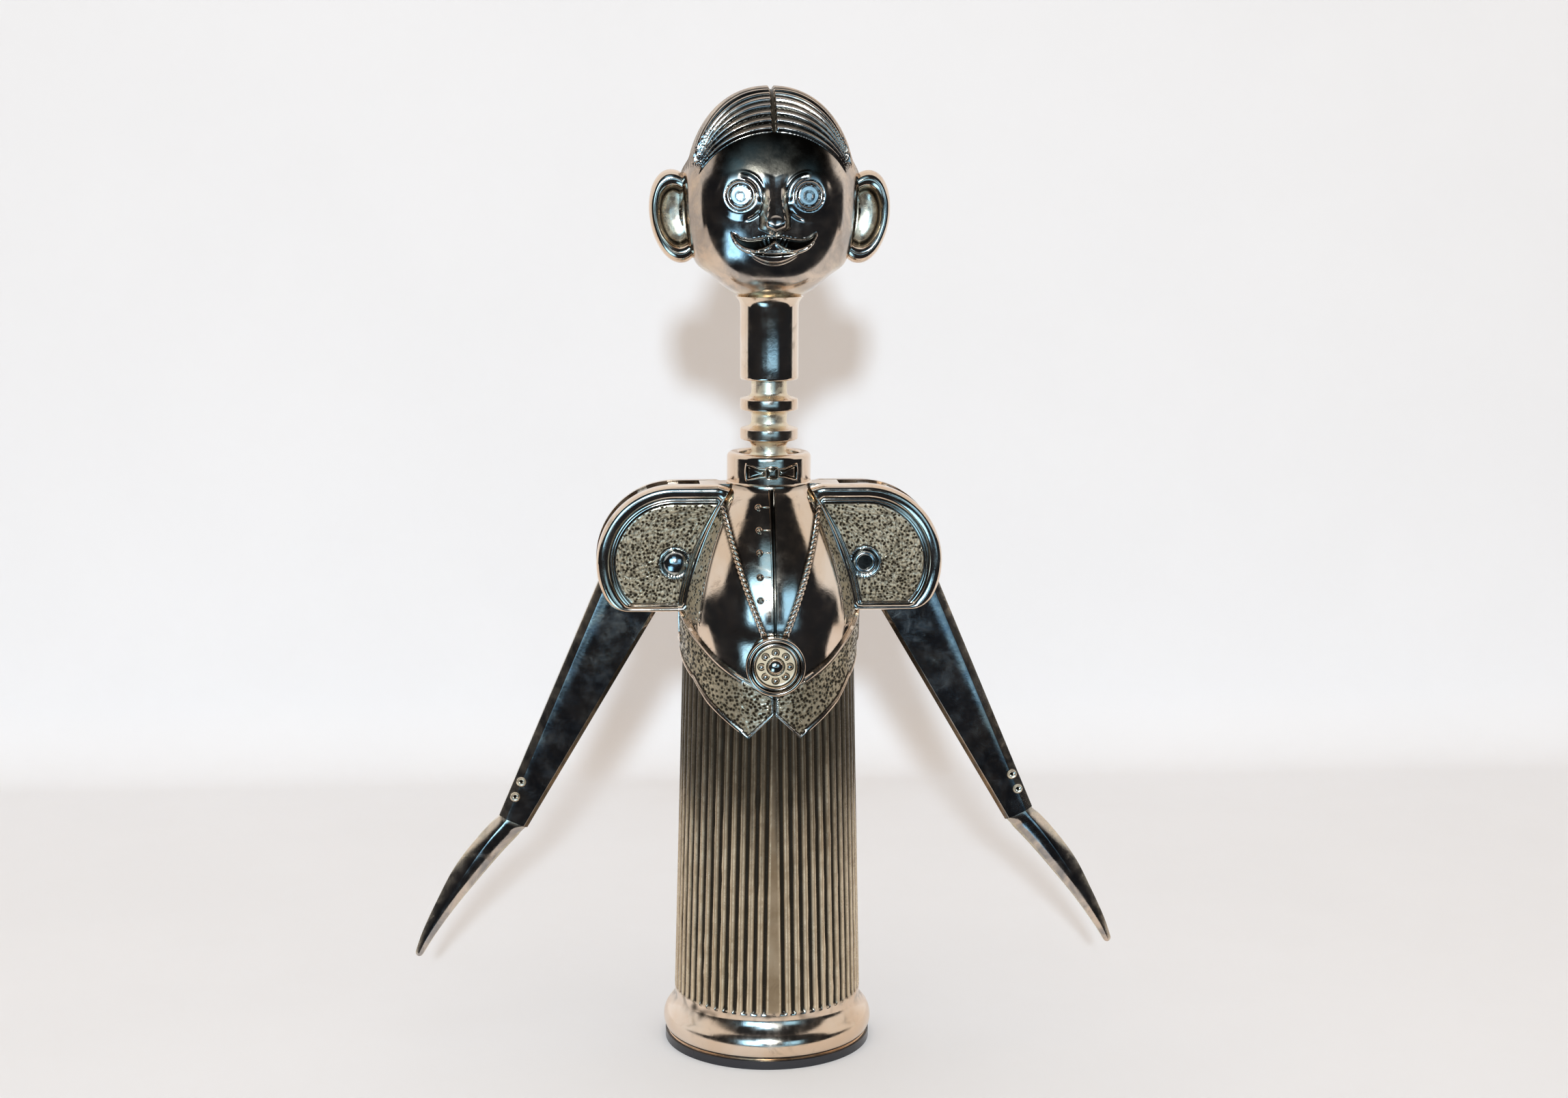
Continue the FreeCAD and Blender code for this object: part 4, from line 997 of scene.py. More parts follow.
def build_medallion():
    """Medallion: rolled rims, a dish with eight beads and a dome in its middle."""
    sizes = settings("waistcoat")
    middle = Vector((0, 0, 0.5 * (MEDAL_LOW.z + MEDAL_HIGH.z)))
    front, back = -MEDAL_LOW.y, -MEDAL_HIGH.y
    radius = 0.5 * (MEDAL_HIGH.z - MEDAL_LOW.z)
    boss = 0.6 * radius
    corners = [(0.0, back - 3.0, 0.0), (boss, back - 3.0, 0.0), (boss, back, 0.3),
               (radius - 0.1, back, 0.0), (radius, back + 0.2, 0.15)]
    # rolled rims, measured in from the edge and down from the front
    corners += [(radius - inward, front - drop, rounding) for inward, drop, rounding in
                ((0.0, 0.35, 0.35), (0.55, 0.02, 0.35), (0.95, 0.35, 0.2), (1.12, 0.75, 0.1),
                 (1.3, 0.4, 0.15), (1.65, 0.25, 0.25), (2.0, 0.55, 0.2), (2.15, 1.1, 0.2),
                 (2.6, 1.25, 0.3))]
    # dish with the step round the middle dome
    corners += [(2.75, front - 1.25, 0.2), (2.45, front - 1.0, 0.15), (2.15, front - 1.2, 0.15),
                (1.95, front - 1.3, 0.0)]
    profile = []
    for r, h in rounded_profile(corners, 4):
        groove = abs(r - (radius - 1.12)) < 0.13 or abs(r - (radius - 2.25)) < 0.22 or r < 2.3
        profile.append((r, h, 0.9 if groove else 0.0, 1.0 if r < radius - 2.2 else 0.0))
    bm = new_shape()
    add_turned(bm, profile + [(0.0, front - 1.3, 0.3)], 96, middle, "Y")
    dome = [(1.95 * math.sin(turn), front - 1.3 + 1.28 * math.cos(turn)) for turn in
            (math.radians(90.0 * step / 10) for step in range(10, -1, -1))]
    add_turned(bm, dome, 48, middle, "Y")
    circle = mm(sizes.medal_circle)
    for index in range(8):
        turn = math.radians(45.0 * index)
        spot = middle + Vector((circle * math.sin(turn), -(front - 1.25), circle * math.cos(turn)))
        add_ball(bm, spot, mm(sizes.medal_bead), 16)
        ring = [spot + Vector((math.sin(a), 0.03, math.cos(a))) * 0.86 for a in full_turn(20)]
        darken(bm, add_tube(bm, ring, 0.13, 6, closed=True), 0.9)
    finish_piece(bm, "tastevin", "silver_cream", "tastevin_medallion", crease=50.0, merge=1e-3)


# The bow tie: height of its middle, where a wing begins beside the knot, half the knot's size.
BOW_HEIGHT, WING_START, KNOT_HALF = 140.85, 1.25, 1.62
# Half the height of a wing by the share of its length.
WING_HALF = [(0.0, 1.12), (0.35, 1.25), (0.75, 1.85), (1.0, 2.25)]


def build_bow_tie():
    """Two puffed wings with rolled borders and a square knot."""
    sizes = settings("waistcoat")
    collar, half = mm(sizes.collar_radius), mm(sizes.bow_half)
    length = half - WING_START
    bm = new_shape()

    def on_collar(u, v, x, rise, lift, dark, side=1):
        """A place on the collar with its tarnish; the patch is let into the collar along its edges."""
        if u in (0.0, 1.0) or v in (0.0, 1.0):
            lift = -0.4
        return Vector((side * x, -math.sqrt(collar * collar - x * x) - lift, BOW_HEIGHT + rise)), dark

    for side in (-1, 1):
        def place_wing(u, v, side=side):
            across = 2.0 * v - 1.0
            height = straight_table(WING_HALF, u)
            x = WING_START + length * u + 0.25 * (1.0 - across * across) * ease(0.7, 1.0, u)
            edge = min(u * length, (1.0 - u) * length, (1.0 - abs(across)) * height)
            groove, belly = swell(edge - 0.62, 0.24), ease(0.55, 1.25, edge)
            lift = 0.34 + 0.5 * bead(edge - 0.24, 0.26) - 0.1 * groove + 0.22 * belly
            return on_collar(u, v, x, across * height, lift, clamp(max(groove, 0.45 * belly)), side)

        add_sheet(bm, 36, 34, place_wing)

    def place_knot(u, v):
        a, b = 2.0 * u - 1.0, 2.0 * v - 1.0
        corner = 1.0 - 0.12 * (a * a) * (b * b)
        edge = min(1.0 - abs(a), 1.0 - abs(b)) * KNOT_HALF
        groove = swell(edge - 0.5, 0.2)
        lift = 0.55 + 0.42 * bead(edge - 0.22, 0.24) - 0.1 * groove + 0.2 * ease(0.45, 1.1, edge)
        return on_collar(u, v, KNOT_HALF * a * corner, KNOT_HALF * b * corner, lift, groove)

    add_sheet(bm, 30, 30, place_knot)
    finish_piece(bm, "bow_tie", "silver_polished", crease=60.0, merge=1e-3)


# ---- Shoulders, rivets and levers -------------------------------------------------------------------

def shoulder_outlines():
    """Matching points of the outer edge and of the panel edge of the right shoulder."""
    sizes = settings("shoulders")
    big, corner = mm(sizes.radius), mm(sizes.corner)
    small = big - mm(sizes.rim)
    bottom = PIVOT.z - 11.7
    panel_bottom = bottom + mm(sizes.rim_low)
    corner_z = bottom + corner
    corner_x = PIVOT.x + math.sqrt((big - corner) ** 2 - (corner_z - PIVOT.z) ** 2)
    meet = math.atan2(corner_z - PIVOT.z, corner_x - PIVOT.x)
    panel_end = math.asin((panel_bottom - PIVOT.z) / small)
    top, steep = math.radians(90.0), math.radians(-58.0)
    round_share = 0.86
    half_depth = mm(sizes.half_depth)

    def chest_side(height):
        reach = chest_radius(height) ** 2 - (half_depth - 0.6) ** 2
        return math.sqrt(max(reach, 1.0)) + 1.7

    pairs = []
    top_in = chest_side(PIVOT.z + small)
    for step in range(16):
        x = top_in + (PIVOT.x - top_in) * (step / 16)
        pairs.append(((x, PIVOT.z + big), (x, PIVOT.z + small)))
    for step in range(66):
        share = step / 65
        if share < round_share:
            outer = polar(PIVOT.x, PIVOT.z, big, top + (meet - top) * share / round_share)
        else:
            swing = meet + (steep - meet) * (share - round_share) / (1.0 - round_share)
            outer = polar(corner_x, corner_z, corner, swing)
        pairs.append((outer, polar(PIVOT.x, PIVOT.z, small, top + (panel_end - top) * share)))
    corner_in = pairs[-1][1]
    low_in = (chest_side(panel_bottom), panel_bottom)
    for step in range(1, 7):
        outer = polar(corner_x, corner_z, corner, math.radians(-58.0 - 32.0 * step / 6))
        pairs.append((outer, (corner_in[0] - 0.12 * step, panel_bottom)))
    start_in, start_out = pairs[-1][1][0], pairs[-1][0][0]
    for step in range(1, 25):
        share = step / 25
        pairs.append(((start_out + (low_in[0] - start_out) * share, bottom),
                      (start_in + (low_in[0] - start_in) * share, panel_bottom)))
    pairs.append(((low_in[0] - 2.2, bottom), low_in))
    for step in range(1, 36):
        height = panel_bottom + (PIVOT.z + small - panel_bottom) * step / 36
        x = chest_side(height)
        pairs.append(((x - 3.4, bottom + (PIVOT.z + big - bottom) * step / 36), (x, height)))
    return pairs


# Rolled rim from the slot to the panel: share of the way across, drop below the highest line, tarnish.
SHOULDER_RIM = ((0.0, 1.75, 0.0), (0.015, 1.2, 0.0), (0.06, 0.72, 0.0), (0.13, 0.34, 0.0),
                (0.22, 0.09, 0.0), (0.33, 0.0, 0.0), (0.44, 0.05, 0.0), (0.55, 0.2, 0.0),
                (0.65, 0.46, 0.0), (0.70, 0.7, 1.0), (0.725, 0.62, 0.0), (0.78, 0.5, 0.0),
                (0.84, 0.52, 0.0), (0.87, 0.68, 0.9), (0.90, 0.62, 0.0), (0.935, 0.6, 0.0),
                (0.965, 0.72, 0.7))


def build_shoulder(side, facing, name):
    """One cheek: rolled rim, thin step line and hammered panel."""
    sizes = settings("shoulders")
    pairs = shoulder_outlines()
    depth, slot = mm(sizes.half_depth), mm(sizes.slot_half)
    panel = depth - mm(sizes.panel_sink)
    grain, hammer = mm(sizes.grain), mm(sizes.grain_depth)
    middle = (27.2, PIVOT.z + 1.0)
    rim = [(0.0, slot, 0.0), *((share, depth - drop, dark) for share, drop, dark in SHOULDER_RIM),
           (1.0, panel, 0.6)]
    inside = 44
    rows = len(rim) + inside
    count = len(pairs)

    def place(u, v):
        outer, inner = pairs[int(round(u * count)) % count]
        row = int(round(v * rows))
        tarnish = grained = 0.0
        if row == 0:
            x, z, y = *middle, slot
        elif row <= len(rim):
            share, y, tarnish = rim[row - 1]
            x, z = (start + (end - start) * share for start, end in zip(outer, inner))
        else:
            inward = (row - len(rim)) / inside
            x, z = (start + (end - start) * inward for start, end in zip(inner, middle))
            from_rivet = math.hypot(x - PIVOT.x, z - PIVOT.z)
            grained = ease(3.7, 4.1, from_rivet) * ease(0.0, 0.03, inward)
            rough = hammered(Vector((x * side, 40.0 * facing, z)), grain)
            y = panel + grained * 0.55 * hammer * (rough - 0.55) + 0.28 * bead(from_rivet - 3.5, 0.32)
            tarnish = clamp(grained * (0.95 - 1.5 * rough) * 0.8 + 0.8 * swell(from_rivet - 4.0, 0.25)
                            + (0.8 if from_rivet < 3.2 else 0.0))
        return Vector((side * x, facing * y, z)), tarnish, grained

    bm = new_shape()
    add_sheet(bm, count, rows, place)
    finish_piece(bm, name, "silver_polished", "body_casting", crease=50.0)


def build_shoulder_bridge():
    """Solid part of both shoulders between the cheeks, above the toothed sectors."""
    sizes = settings("shoulders")
    slot = mm(sizes.slot_half)
    top = PIVOT.z + mm(sizes.radius) - 0.03
    inner_end, reach = 7.6, PIVOT.x - 6.0
    radius = 18.475
    start = math.acos((reach - PIVOT.x) / radius)
    end = math.acos(clamp((inner_end - PIVOT.x) / radius, -1.0, 1.0))
    line = [(inner_end, top), (reach, top)]
    line += [polar(PIVOT.x, PIVOT.z, radius, start + (end - start) * step / 12) for step in range(13)]
    bm = new_shape()
    for side in (-1, 1):
        face = bm.faces.new([bm.verts.new((side * x, -slot, z)) for x, z in line])
        moved = bmesh.ops.extrude_face_region(bm, geom=[face])
        verts = [item for item in moved["geom"] if isinstance(item, bmesh.types.BMVert)]
        bmesh.ops.translate(bm, verts=verts, vec=(0, 2.0 * slot, 0))
    finish_piece(bm, "shoulder_bridge", "silver_polished", "body_casting", crease=30.0)


# Rivet ends: radius, height over the panel, tarnish.
RIVET_DOME = ((0.0, 1.32), (0.6, 1.29), (1.2, 1.18), (1.8, 0.98), (2.3, 0.72), (2.7, 0.4), (2.92, 0.12),
              (2.98, -0.1), (2.0, -0.1))
RIVET_ROLL = ((2.0, -0.1), (2.55, -0.1), (2.72, 0.2), (2.66, 0.5), (2.45, 0.72), (2.15, 0.82),
              (1.86, 0.72), (1.7, 0.45), (1.66, 0.0), (1.64, -0.8, 0.9), (1.3, -0.55, 0.5),
              (0.8, -0.28, 0.2), (0.0, -0.15, 0.0))


def build_rivet(side, name, node):
    """Pivot pin with a domed head on one side and a rolled end on the other."""
    panel, pin = 5.95, (2.0, 0.0)
    dome, roll = ([(radius, panel + height, *tarnish) for radius, height, *tarnish in ends]
                  for ends in (RIVET_DOME, RIVET_ROLL))
    spot = Vector((side * PIVOT.x, 0, PIVOT.z))
    bm = new_shape()
    add_turned(bm, dome + [pin], 48, spot, "Y" if side < 0 else "-Y")
    add_turned(bm, [pin] + roll, 48, spot, "-Y" if side < 0 else "Y")
    finish_piece(bm, name, "rivet_nickel", node, slot="nickel_rivet", crease=50.0)


# Half of the sleeve's section from its inner to its outer edge: which edge it is measured from,
# distance in from that edge in shares of the bevel, drop below the face in shares of the fall.
SLEEVE_SECTION = ((-1, 0.0, 1.0), (-1, 0.12, 0.86), (-1, 0.88, 0.08), (-1, 1.0, 0.0), (0, -0.25, 0.0),
                  (0, 0.0, 0.0), (0, 0.25, 0.0), (1, 1.0, 0.0), (1, 0.9, 0.06), (1, 0.08, 0.9),
                  (1, 0.0, 1.0))
# Half of the hand's section: share of the width from the inner edge, share of the half thickness.
HAND_SECTION = ((0.0, 0.15), (0.03, 0.38), (0.10, 0.60), (0.19, 0.77), (0.31, 0.90), (0.43, 0.975),
                (0.54, 1.0), (0.63, 0.985), (0.66, 0.94), (0.92, 0.46), (1.0, 0.22))
# Hand centre line: distance beyond the cuff, sideways shift outward, half width and half thickness.
HAND_SHIFT = [(0.0, 0.0), (7.7, 2.3), (17.0, 4.3), (26.4, 5.4), (34.9, 5.9), (39.9, 5.8), (41.0, 5.75)]
HAND_HALF = [(0.0, 3.62), (7.7, 3.55), (17.0, 3.25), (26.4, 2.3), (34.9, 1.5), (39.9, 0.95), (41.0, 0.8)]
HAND_THICK = [(0.0, 2.42), (6.0, 2.5), (15.0, 2.3), (26.0, 1.75), (35.0, 1.25), (39.9, 0.85)]
# The hand's length and where its rounded tip begins and how long it is.
HAND_LENGTH, TIP_START, TIP_LENGTH = 41.0, 39.9, 0.95
# Share of the arm's edges that belongs to the toothed sector.
SECTOR_SHARE = 0.135
# Places of the cuff buttons on the right arm.
CUFF_BUTTONS = ((59.55, 65.49), (61.07, 61.8))


def arm_lines():
    """Both edges of the right sleeve as start and end points in the plane of the levers."""
    outer_turn, inner_turn = math.radians(23.06), math.radians(30.66)
    pivot = Vector((PIVOT.x, PIVOT.z))
    outer_run = Vector((math.sin(outer_turn), -math.cos(outer_turn)))
    inner_run = Vector((math.sin(inner_turn), -math.cos(inner_turn)))
    outer_start = pivot + Vector((math.cos(outer_turn), math.sin(outer_turn))) * 14.77
    inner_start = pivot - Vector((math.cos(inner_turn), math.sin(inner_turn))) * 2.4
    return outer_start, outer_start + outer_run * 73.6, inner_start, inner_start + inner_run * 74.1


def add_sector(bm, side, node):
    """The toothed sector of the CAD lever, cut off where the sleeve begins."""
    outer0, outer1, inner0, inner1 = arm_lines()
    sector = bmesh.new()
    sector.from_mesh(frame["nodes"][node].data)
    bmesh.ops.scale(sector, verts=sector.verts, vec=(1 / MM, 1 / MM, 1 / MM))
    bmesh.ops.remove_doubles(sector, verts=sector.verts, dist=1e-3)
    low_in = inner0.lerp(inner1, SECTOR_SHARE + 0.004)
    run = outer0.lerp(outer1, SECTOR_SHARE + 0.004) - low_in
    cut = bmesh.ops.bisect_plane(sector, geom=sector.verts[:] + sector.edges[:] + sector.faces[:],
                                 plane_co=(side * low_in.x, 0, low_in.y),
                                 plane_no=(side * run.y, 0, -run.x), clear_outer=True)
    rim = [item for item in cut["geom_cut"] if isinstance(item, bmesh.types.BMEdge)]
    bmesh.ops.contextual_create(sector, geom=rim)
    kept = bpy.data.meshes.new("sector")
    sector.to_mesh(kept)
    sector.free()
    bm.from_mesh(kept)
    bpy.data.meshes.remove(kept)
    darken(bm, bm.verts, 0.25)


def arm_stations():
    """Stations down the right arm: both edges, half thickness, share of hand, way along it, tarnish."""
    sizes = settings("arms")
    depth, step_in = mm(sizes.half_depth), mm(sizes.cuff_step)
    outer0, outer1, inner0, inner1 = arm_lines()
    stations = []
    for step in range(31):
        share = SECTOR_SHARE + (1.0 - SECTOR_SHARE) * step / 30
        stations.append((outer0.lerp(outer1, share), inner0.lerp(inner1, share), depth, 0.0, 0.0, 0.0))
    out = outer1 + (inner1 - outer1).normalized() * step_in
    inn = inner1 + (outer1 - inner1).normalized() * step_in
    stations.append((out, inn, depth - step_in, 0.0, 0.0, 0.9))
    middle = (outer1 + inner1) / 2
    along = ((outer1 - outer0).normalized() + (inner1 - inner0).normalized()).normalized()
    across = Vector((-along.y, along.x))
    reaches = [0.35 + (TIP_START - 0.35) * step / 46 for step in range(47)]
    reaches += [TIP_START + TIP_LENGTH * math.sin(math.radians(90.0 * step / 7)) for step in range(1, 8)]
    for far in reaches:
        spot = middle + along * far + across * along_table(HAND_SHIFT, far)
        half = along_table(HAND_HALF, far) - 0.2 * ease(3.0, 0.0, far)
        thick = along_table(HAND_THICK, far)
        if far > TIP_START:
            rounding = max(math.sqrt(max(1.0 - ((far - TIP_START) / TIP_LENGTH) ** 2, 0.0)), 0.01)
            half *= rounding
            thick *= rounding
        tilt = across * half
        if far < 3.5:
            skew = ease(3.5, 0.2, far)
            tilt = (out - inn) / 2 * skew + across * half * (1.0 - skew)
        stations.append((spot + tilt, spot - tilt, thick, ease(0.2, 2.5, far), far / HAND_LENGTH,
                         0.5 * ease(1.0, 0.3, far)))
    return stations


def arm_section(station, index):
    """A point of the arm's half section in the plane of the levers, and its distance from that plane."""
    sizes = settings("arms")
    outer_bevel, inner_bevel = mm(sizes.outer_bevel), mm(sizes.inner_bevel)
    out, inn, thick, hand, far, _ = station
    width = (out - inn).length
    edge, inward, fall = SLEEVE_SECTION[index]
    bevel = outer_bevel if edge > 0 else inner_bevel
    a_sleeve = edge * (width / 2 - inward * min(bevel, 0.3 * width))
    if edge == 0:
        a_sleeve = inward * (width - inner_bevel - outer_bevel) + (inner_bevel - outer_bevel) / 2
    y_sleeve = thick - fall * mm(sizes.bevel_drop) * (0.7 if edge < 0 else 1.0)
    share, high = HAND_SECTION[index]
    shift = (0.07 - 0.16 * ease(0.0, 0.5, far)) * math.sin(math.pi * clamp(share)) if far else 0.0
    a = a_sleeve * (1 - hand) + (share + shift - 0.5) * width * hand
    y = y_sleeve * (1 - hand) + high * thick * hand
    return (out + inn) / 2 + (out - inn).normalized() * a, y


def build_lever(side, name, node, body):
    """Toothed sector from the frame, bevelled sleeve, cuff, buttons and tapering hand."""
    sizes = settings("arms")
    depth, radius = mm(sizes.half_depth), mm(sizes.cuff_button)
    stations = arm_stations()
    half_count = len(SLEEVE_SECTION)
    bm = new_shape()
    add_sector(bm, side, node)

    def place(u, v):
        number = int(round(v * (len(stations) + 1))) - 1
        ring = int(round(u * 2 * half_count)) % (2 * half_count)
        front = ring < half_count
        index = ring if front else 2 * half_count - 1 - ring
        if number < 0 or number >= len(stations):
            close = stations[0] if number < 0 else stations[-1]
            spot = (close[0] + close[1]) / 2
            return Vector((side * spot.x, 0, spot.y)), 0.0
        station = stations[number]
        spot, y = arm_section(station, index)
        edge, inward, _ = SLEEVE_SECTION[index]
        hand, tarnish = station[3], station[5]
        # Painted reflection: the sleeve's outer bevel and the hand's outer edge are painted cream.
        worn = 0.3 * (edge > 0 and inward < 0.95) * (1.0 - hand) + 0.5 * hand * (index > 8)
        cuff = max(tarnish, 1.2 * hand * (index < 2))
        return Vector((side * spot.x, -y if front else y, spot.y)), 0.35 * cuff, 0.0, max(cuff, worn)

    add_sheet(bm, 2 * half_count, len(stations) + 1, place)
    button = [(0.0, depth - 0.02, 0.9), (0.3, depth + 0.02, 0.9), (0.42, depth + 0.12, 0.2),
              (0.58, depth + 0.34, 0, 0, 1), (0.8, depth + 0.43, 0, 0, 1),
              (radius - 0.12, depth + 0.3, 0, 0, 1), (radius, depth + 0.1, 0.3, 0, 0.7),
              (radius + 0.14, depth + 0.0, 1.0), (radius + 0.16, depth - 0.4, 1.0), (0.0, depth - 0.4, 0.0)]
    for x, z in CUFF_BUTTONS:
        for way in ("Y", "-Y"):
            add_turned(bm, button, 28, (side * x, 0, z), way)
    finish_piece(bm, name, "silver_lever", node, body=body, crease=30.0)


# ---- Neck: rack rings and sleeve --------------------------------------------------------------------

def build_rack():
    """Neck: the ringed rack and its plain stem down to the worm."""
    sizes = settings("neck")
    tip, core = mm(sizes.ring_radius), mm(sizes.core_radius)
    pitch, half = mm(sizes.pitch), mm(sizes.ring_half)
    edge, sweep = mm(sizes.ring_edge), mm(sizes.fillet)
    top_ring, top = SLEEVE_LOW.z - 5.8, SLEEVE_LOW.z + 3.0
    rings, stem = 9, 5.6
    corners = [(0.0, top, 0.0), (core, top, 0.0)]
    for index in range(rings):
        z = top_ring - index * pitch
        corners += [(core, z + half + 0.75, sweep), (tip - 0.04, z + half, edge), (tip, z, 0.0),
                    (tip - 0.04, z - half, edge), (core, z - half - 0.75, sweep)]
    stem_top = top_ring - (rings - 1) * pitch - pitch / 2
    corners += [(core, stem_top, 0.3), (stem, stem_top, 0.3), (stem, RACK_LOW.z, 0.3),
                (0.0, RACK_LOW.z, 0.0)]
    bm = new_shape()
    # Painted dark reflection: a dark band is painted on the rounded rim of each ring; the cores stay cream.
    add_turned(bm, [(radius, height, 0.8 * swell(radius - (tip - 0.55), 0.35), 0.0,
                     1.0 - ease(core + 0.3, core + 1.6, radius))
                    for radius, height in rounded_profile(corners, 6)], 72)
    finish_piece(bm, "neck_rings", "rack_brass", "rack_spindle", body="spindle", slot="plated_brass",
                 crease=45.0)


def build_sleeve():
    """Plain tube of the neck that flares into the head."""
    low, high = SLEEVE_LOW.z, 180.7
    radius, inside = mm(settings("neck").ring_radius), high + 2.4
    corners = [(0.0, low + 0.3, 0.0), (4.3, low + 0.3, 0.0), (5.6, low, 0.3), (radius, low, 0.75),
               (radius, low + 4.0, 0.0), (radius, high - 1.5, 0.0), (radius + 0.12, high - 0.7, 0.0),
               (radius + 0.45, high, 0.0), (radius + 1.2, high + 0.9, 0.0), (4.0, inside, 0.0),
               (0.0, inside, 0.0)]
    bm = new_shape()
    profile = []
    for r, h in rounded_profile(corners, 6):
        tarnish = 0.9 if r < 5.4 and h < low + 1 else 0.0
        profile.append((r, h, tarnish, 0.0, 0.2 * ease(high - 2.5, high + 0.5, h)))
    add_turned(bm, profile, 96)
    finish_piece(bm, "neck_tube", "silver_polished", "neck_sleeve", body="spindle", crease=45.0)


# ---- Head -------------------------------------------------------------------------------------------

# Squareness of the head seen from the front.
EGG_POWER = 2.2
# Heights where the nose begins, of the ball at its tip and of its root.
NOSE_LOW, NOSE_BALL, NOSE_ROOT = 196.5, 198.9, 211.0
# Nose by height: share of the reach, half width of its flat front, half width of its foot.
NOSE_REACH = [(196.5, 0.0), (197.0, 0.42), (197.5, 0.86), (198.3, 1.0), (199.6, 0.94), (201.6, 0.74),
              (204.2, 0.46), (206.6, 0.2), (208.4, 0.06), (209.6, 0.0)]
NOSE_FRONT = [(196.5, 2.1), (199.0, 2.0), (202.0, 1.6), (205.0, 1.25), (208.0, 1.2), (211.0, 1.3)]
NOSE_FOOT = [(196.5, 3.5), (199.0, 3.4), (202.0, 2.95), (205.0, 2.6), (208.0, 2.9), (211.0, 3.3)]
# Half widths of the moustache and the mouth, and the heights between which each lies.
MOUSTACHE_END, MOUSTACHE_LOW, MOUSTACHE_HIGH = 10.3, 191.0, 198.5
MOUTH_END, MOUTH_LOW, MOUTH_HIGH = 6.6, 187.0, 193.6
# Moustache: distance from the middle, height of its middle line, half thickness.
MOUSTACHE_MIDDLE = [(0.0, 195.25), (0.6, 195.1), (1.5, 194.8), (3.5, 194.2), (6.0, 194.15), (8.0, 194.85),
                    (9.2, 195.9), (9.9, 196.6)]
MOUSTACHE_HALF = [(0.0, 0.5), (0.6, 0.9), (1.5, 1.35), (3.5, 1.55), (6.0, 1.3), (8.0, 1.0), (9.2, 0.75),
                  (9.7, 0.4), (9.9, 0.05)]
# The comb lines meet on a line through both temples: its y and z, and the turn of hairline and nape.
HAIR_AXIS = Vector((-6.0, 207.0))
HAIR_START = math.radians(51.5)
HAIR_END = math.radians(232.0)
# Rows of the mesh from chin to crown: lowest and highest climb and the number of rows between them.
FACE_ROWS = ((-0.985, -0.62, 22), (-0.62, 0.30, 185), (0.30, 1.0, 112))
BACK_ROWS = ((-0.985, 0.0, 95), (0.0, 1.0, 130))


def egg_radius(height):
    """Radius of the plain egg at a height."""
    centre = mm(settings("head").centre)
    rise = HEAD_TOP - centre if height > centre else centre - FACE_LOW.z
    return mm(settings("head").radius) * squared_quarter(clamp(abs(height - centre) / rise), EGG_POWER)


def egg_front(across, height):
    """How far the plain egg reaches towards the front at a place seen from there."""
    sizes = settings("head")
    radius = egg_radius(height)
    return radius * sizes.flatness * squared_quarter(clamp(abs(across) / radius), sizes.plan_power)


def egg_point(turn, climb):
    """A point of the plain egg, round behind and flatter in front. climb is -1 at the chin and 1 on top."""
    sizes = settings("head")
    angle = 0.5 * math.pi * climb
    power = 2.0 / EGG_POWER
    centre = mm(sizes.centre)
    rise = HEAD_TOP - centre if climb > 0 else centre - FACE_LOW.z
    height = centre + math.copysign(rise * abs(math.sin(angle)) ** power, climb)
    radius = mm(sizes.radius) * max(math.cos(angle), 0.0) ** power
    if math.cos(turn) <= 0.0:
        return around(turn, radius, height)
    plan = 2.0 / sizes.plan_power
    across = math.copysign(abs(math.sin(turn)) ** plan, math.sin(turn))
    return Vector((radius * across, -radius * sizes.flatness * math.cos(turn) ** plan, height))


NO_RELIEF = (0.0, 0.0, 0.0)


def eye_relief(across, height):
    """Flat eyeball in a rolled ring, with the hollow that sets it off from nose and brow.

    As in the other parts of the face, the three results are relief, tarnish and cream; some parts paint
    shade into the tarnish and highlights into the cream.
    """
    sizes = settings("head")
    side, up = across - mm(sizes.eye_offset), height - mm(sizes.eye_height)
    away = math.hypot(side, up)
    if away > 7.0:
        return NO_RELIEF
    ring = mm(sizes.eye_ring)
    seat = egg_front(mm(sizes.eye_offset), mm(sizes.eye_height))
    plane = seat + 0.1 - sizes.eye_turn * side - 0.06 * up
    relief = ease(ring + 2.6, ring, away) * (plane - egg_front(across, height))
    relief += 0.34 * bead(away - ring + 0.4, 0.40)
    relief -= 0.16 * swell(away - ring - 0.1, 0.22) + 0.2 * swell(away - ring + 0.86, 0.2)
    relief += 0.1 * swell(away - 1.03, 0.2)
    tarnish = 0.9 * swell(away - ring - 0.1, 0.22) + swell(away - ring + 0.8, 0.2)
    tarnish += 0.9 * swell(away - 1.03, 0.2) + 0.5 * swell(away - ring + 0.38, 0.42)
    turn = math.degrees(math.atan2(up, -side))
    brow = ease(-25.0, 0.0, turn) * ease(100.0, 62.0, turn)
    relief -= 0.5 * ease(5.25, 4.7, away) * ease(ring + 0.1, ring + 0.9, away) * brow
    relief += 0.16 * swell(away - 5.5, 0.45) * brow * ease(5.0, 20.0, turn)
    tarnish += 0.8 * swell(away - 5.12, 0.2) * brow * ease(4.0, 20.0, turn)
    crease = ease(-84.0, -66.0, turn) * ease(-34.0, -48.0, turn)
    relief -= 0.35 * swell(away - 5.6, 0.55) * crease
    tarnish += 0.85 * swell(away - 5.6, 0.34) * crease
    return relief, tarnish, 0.0


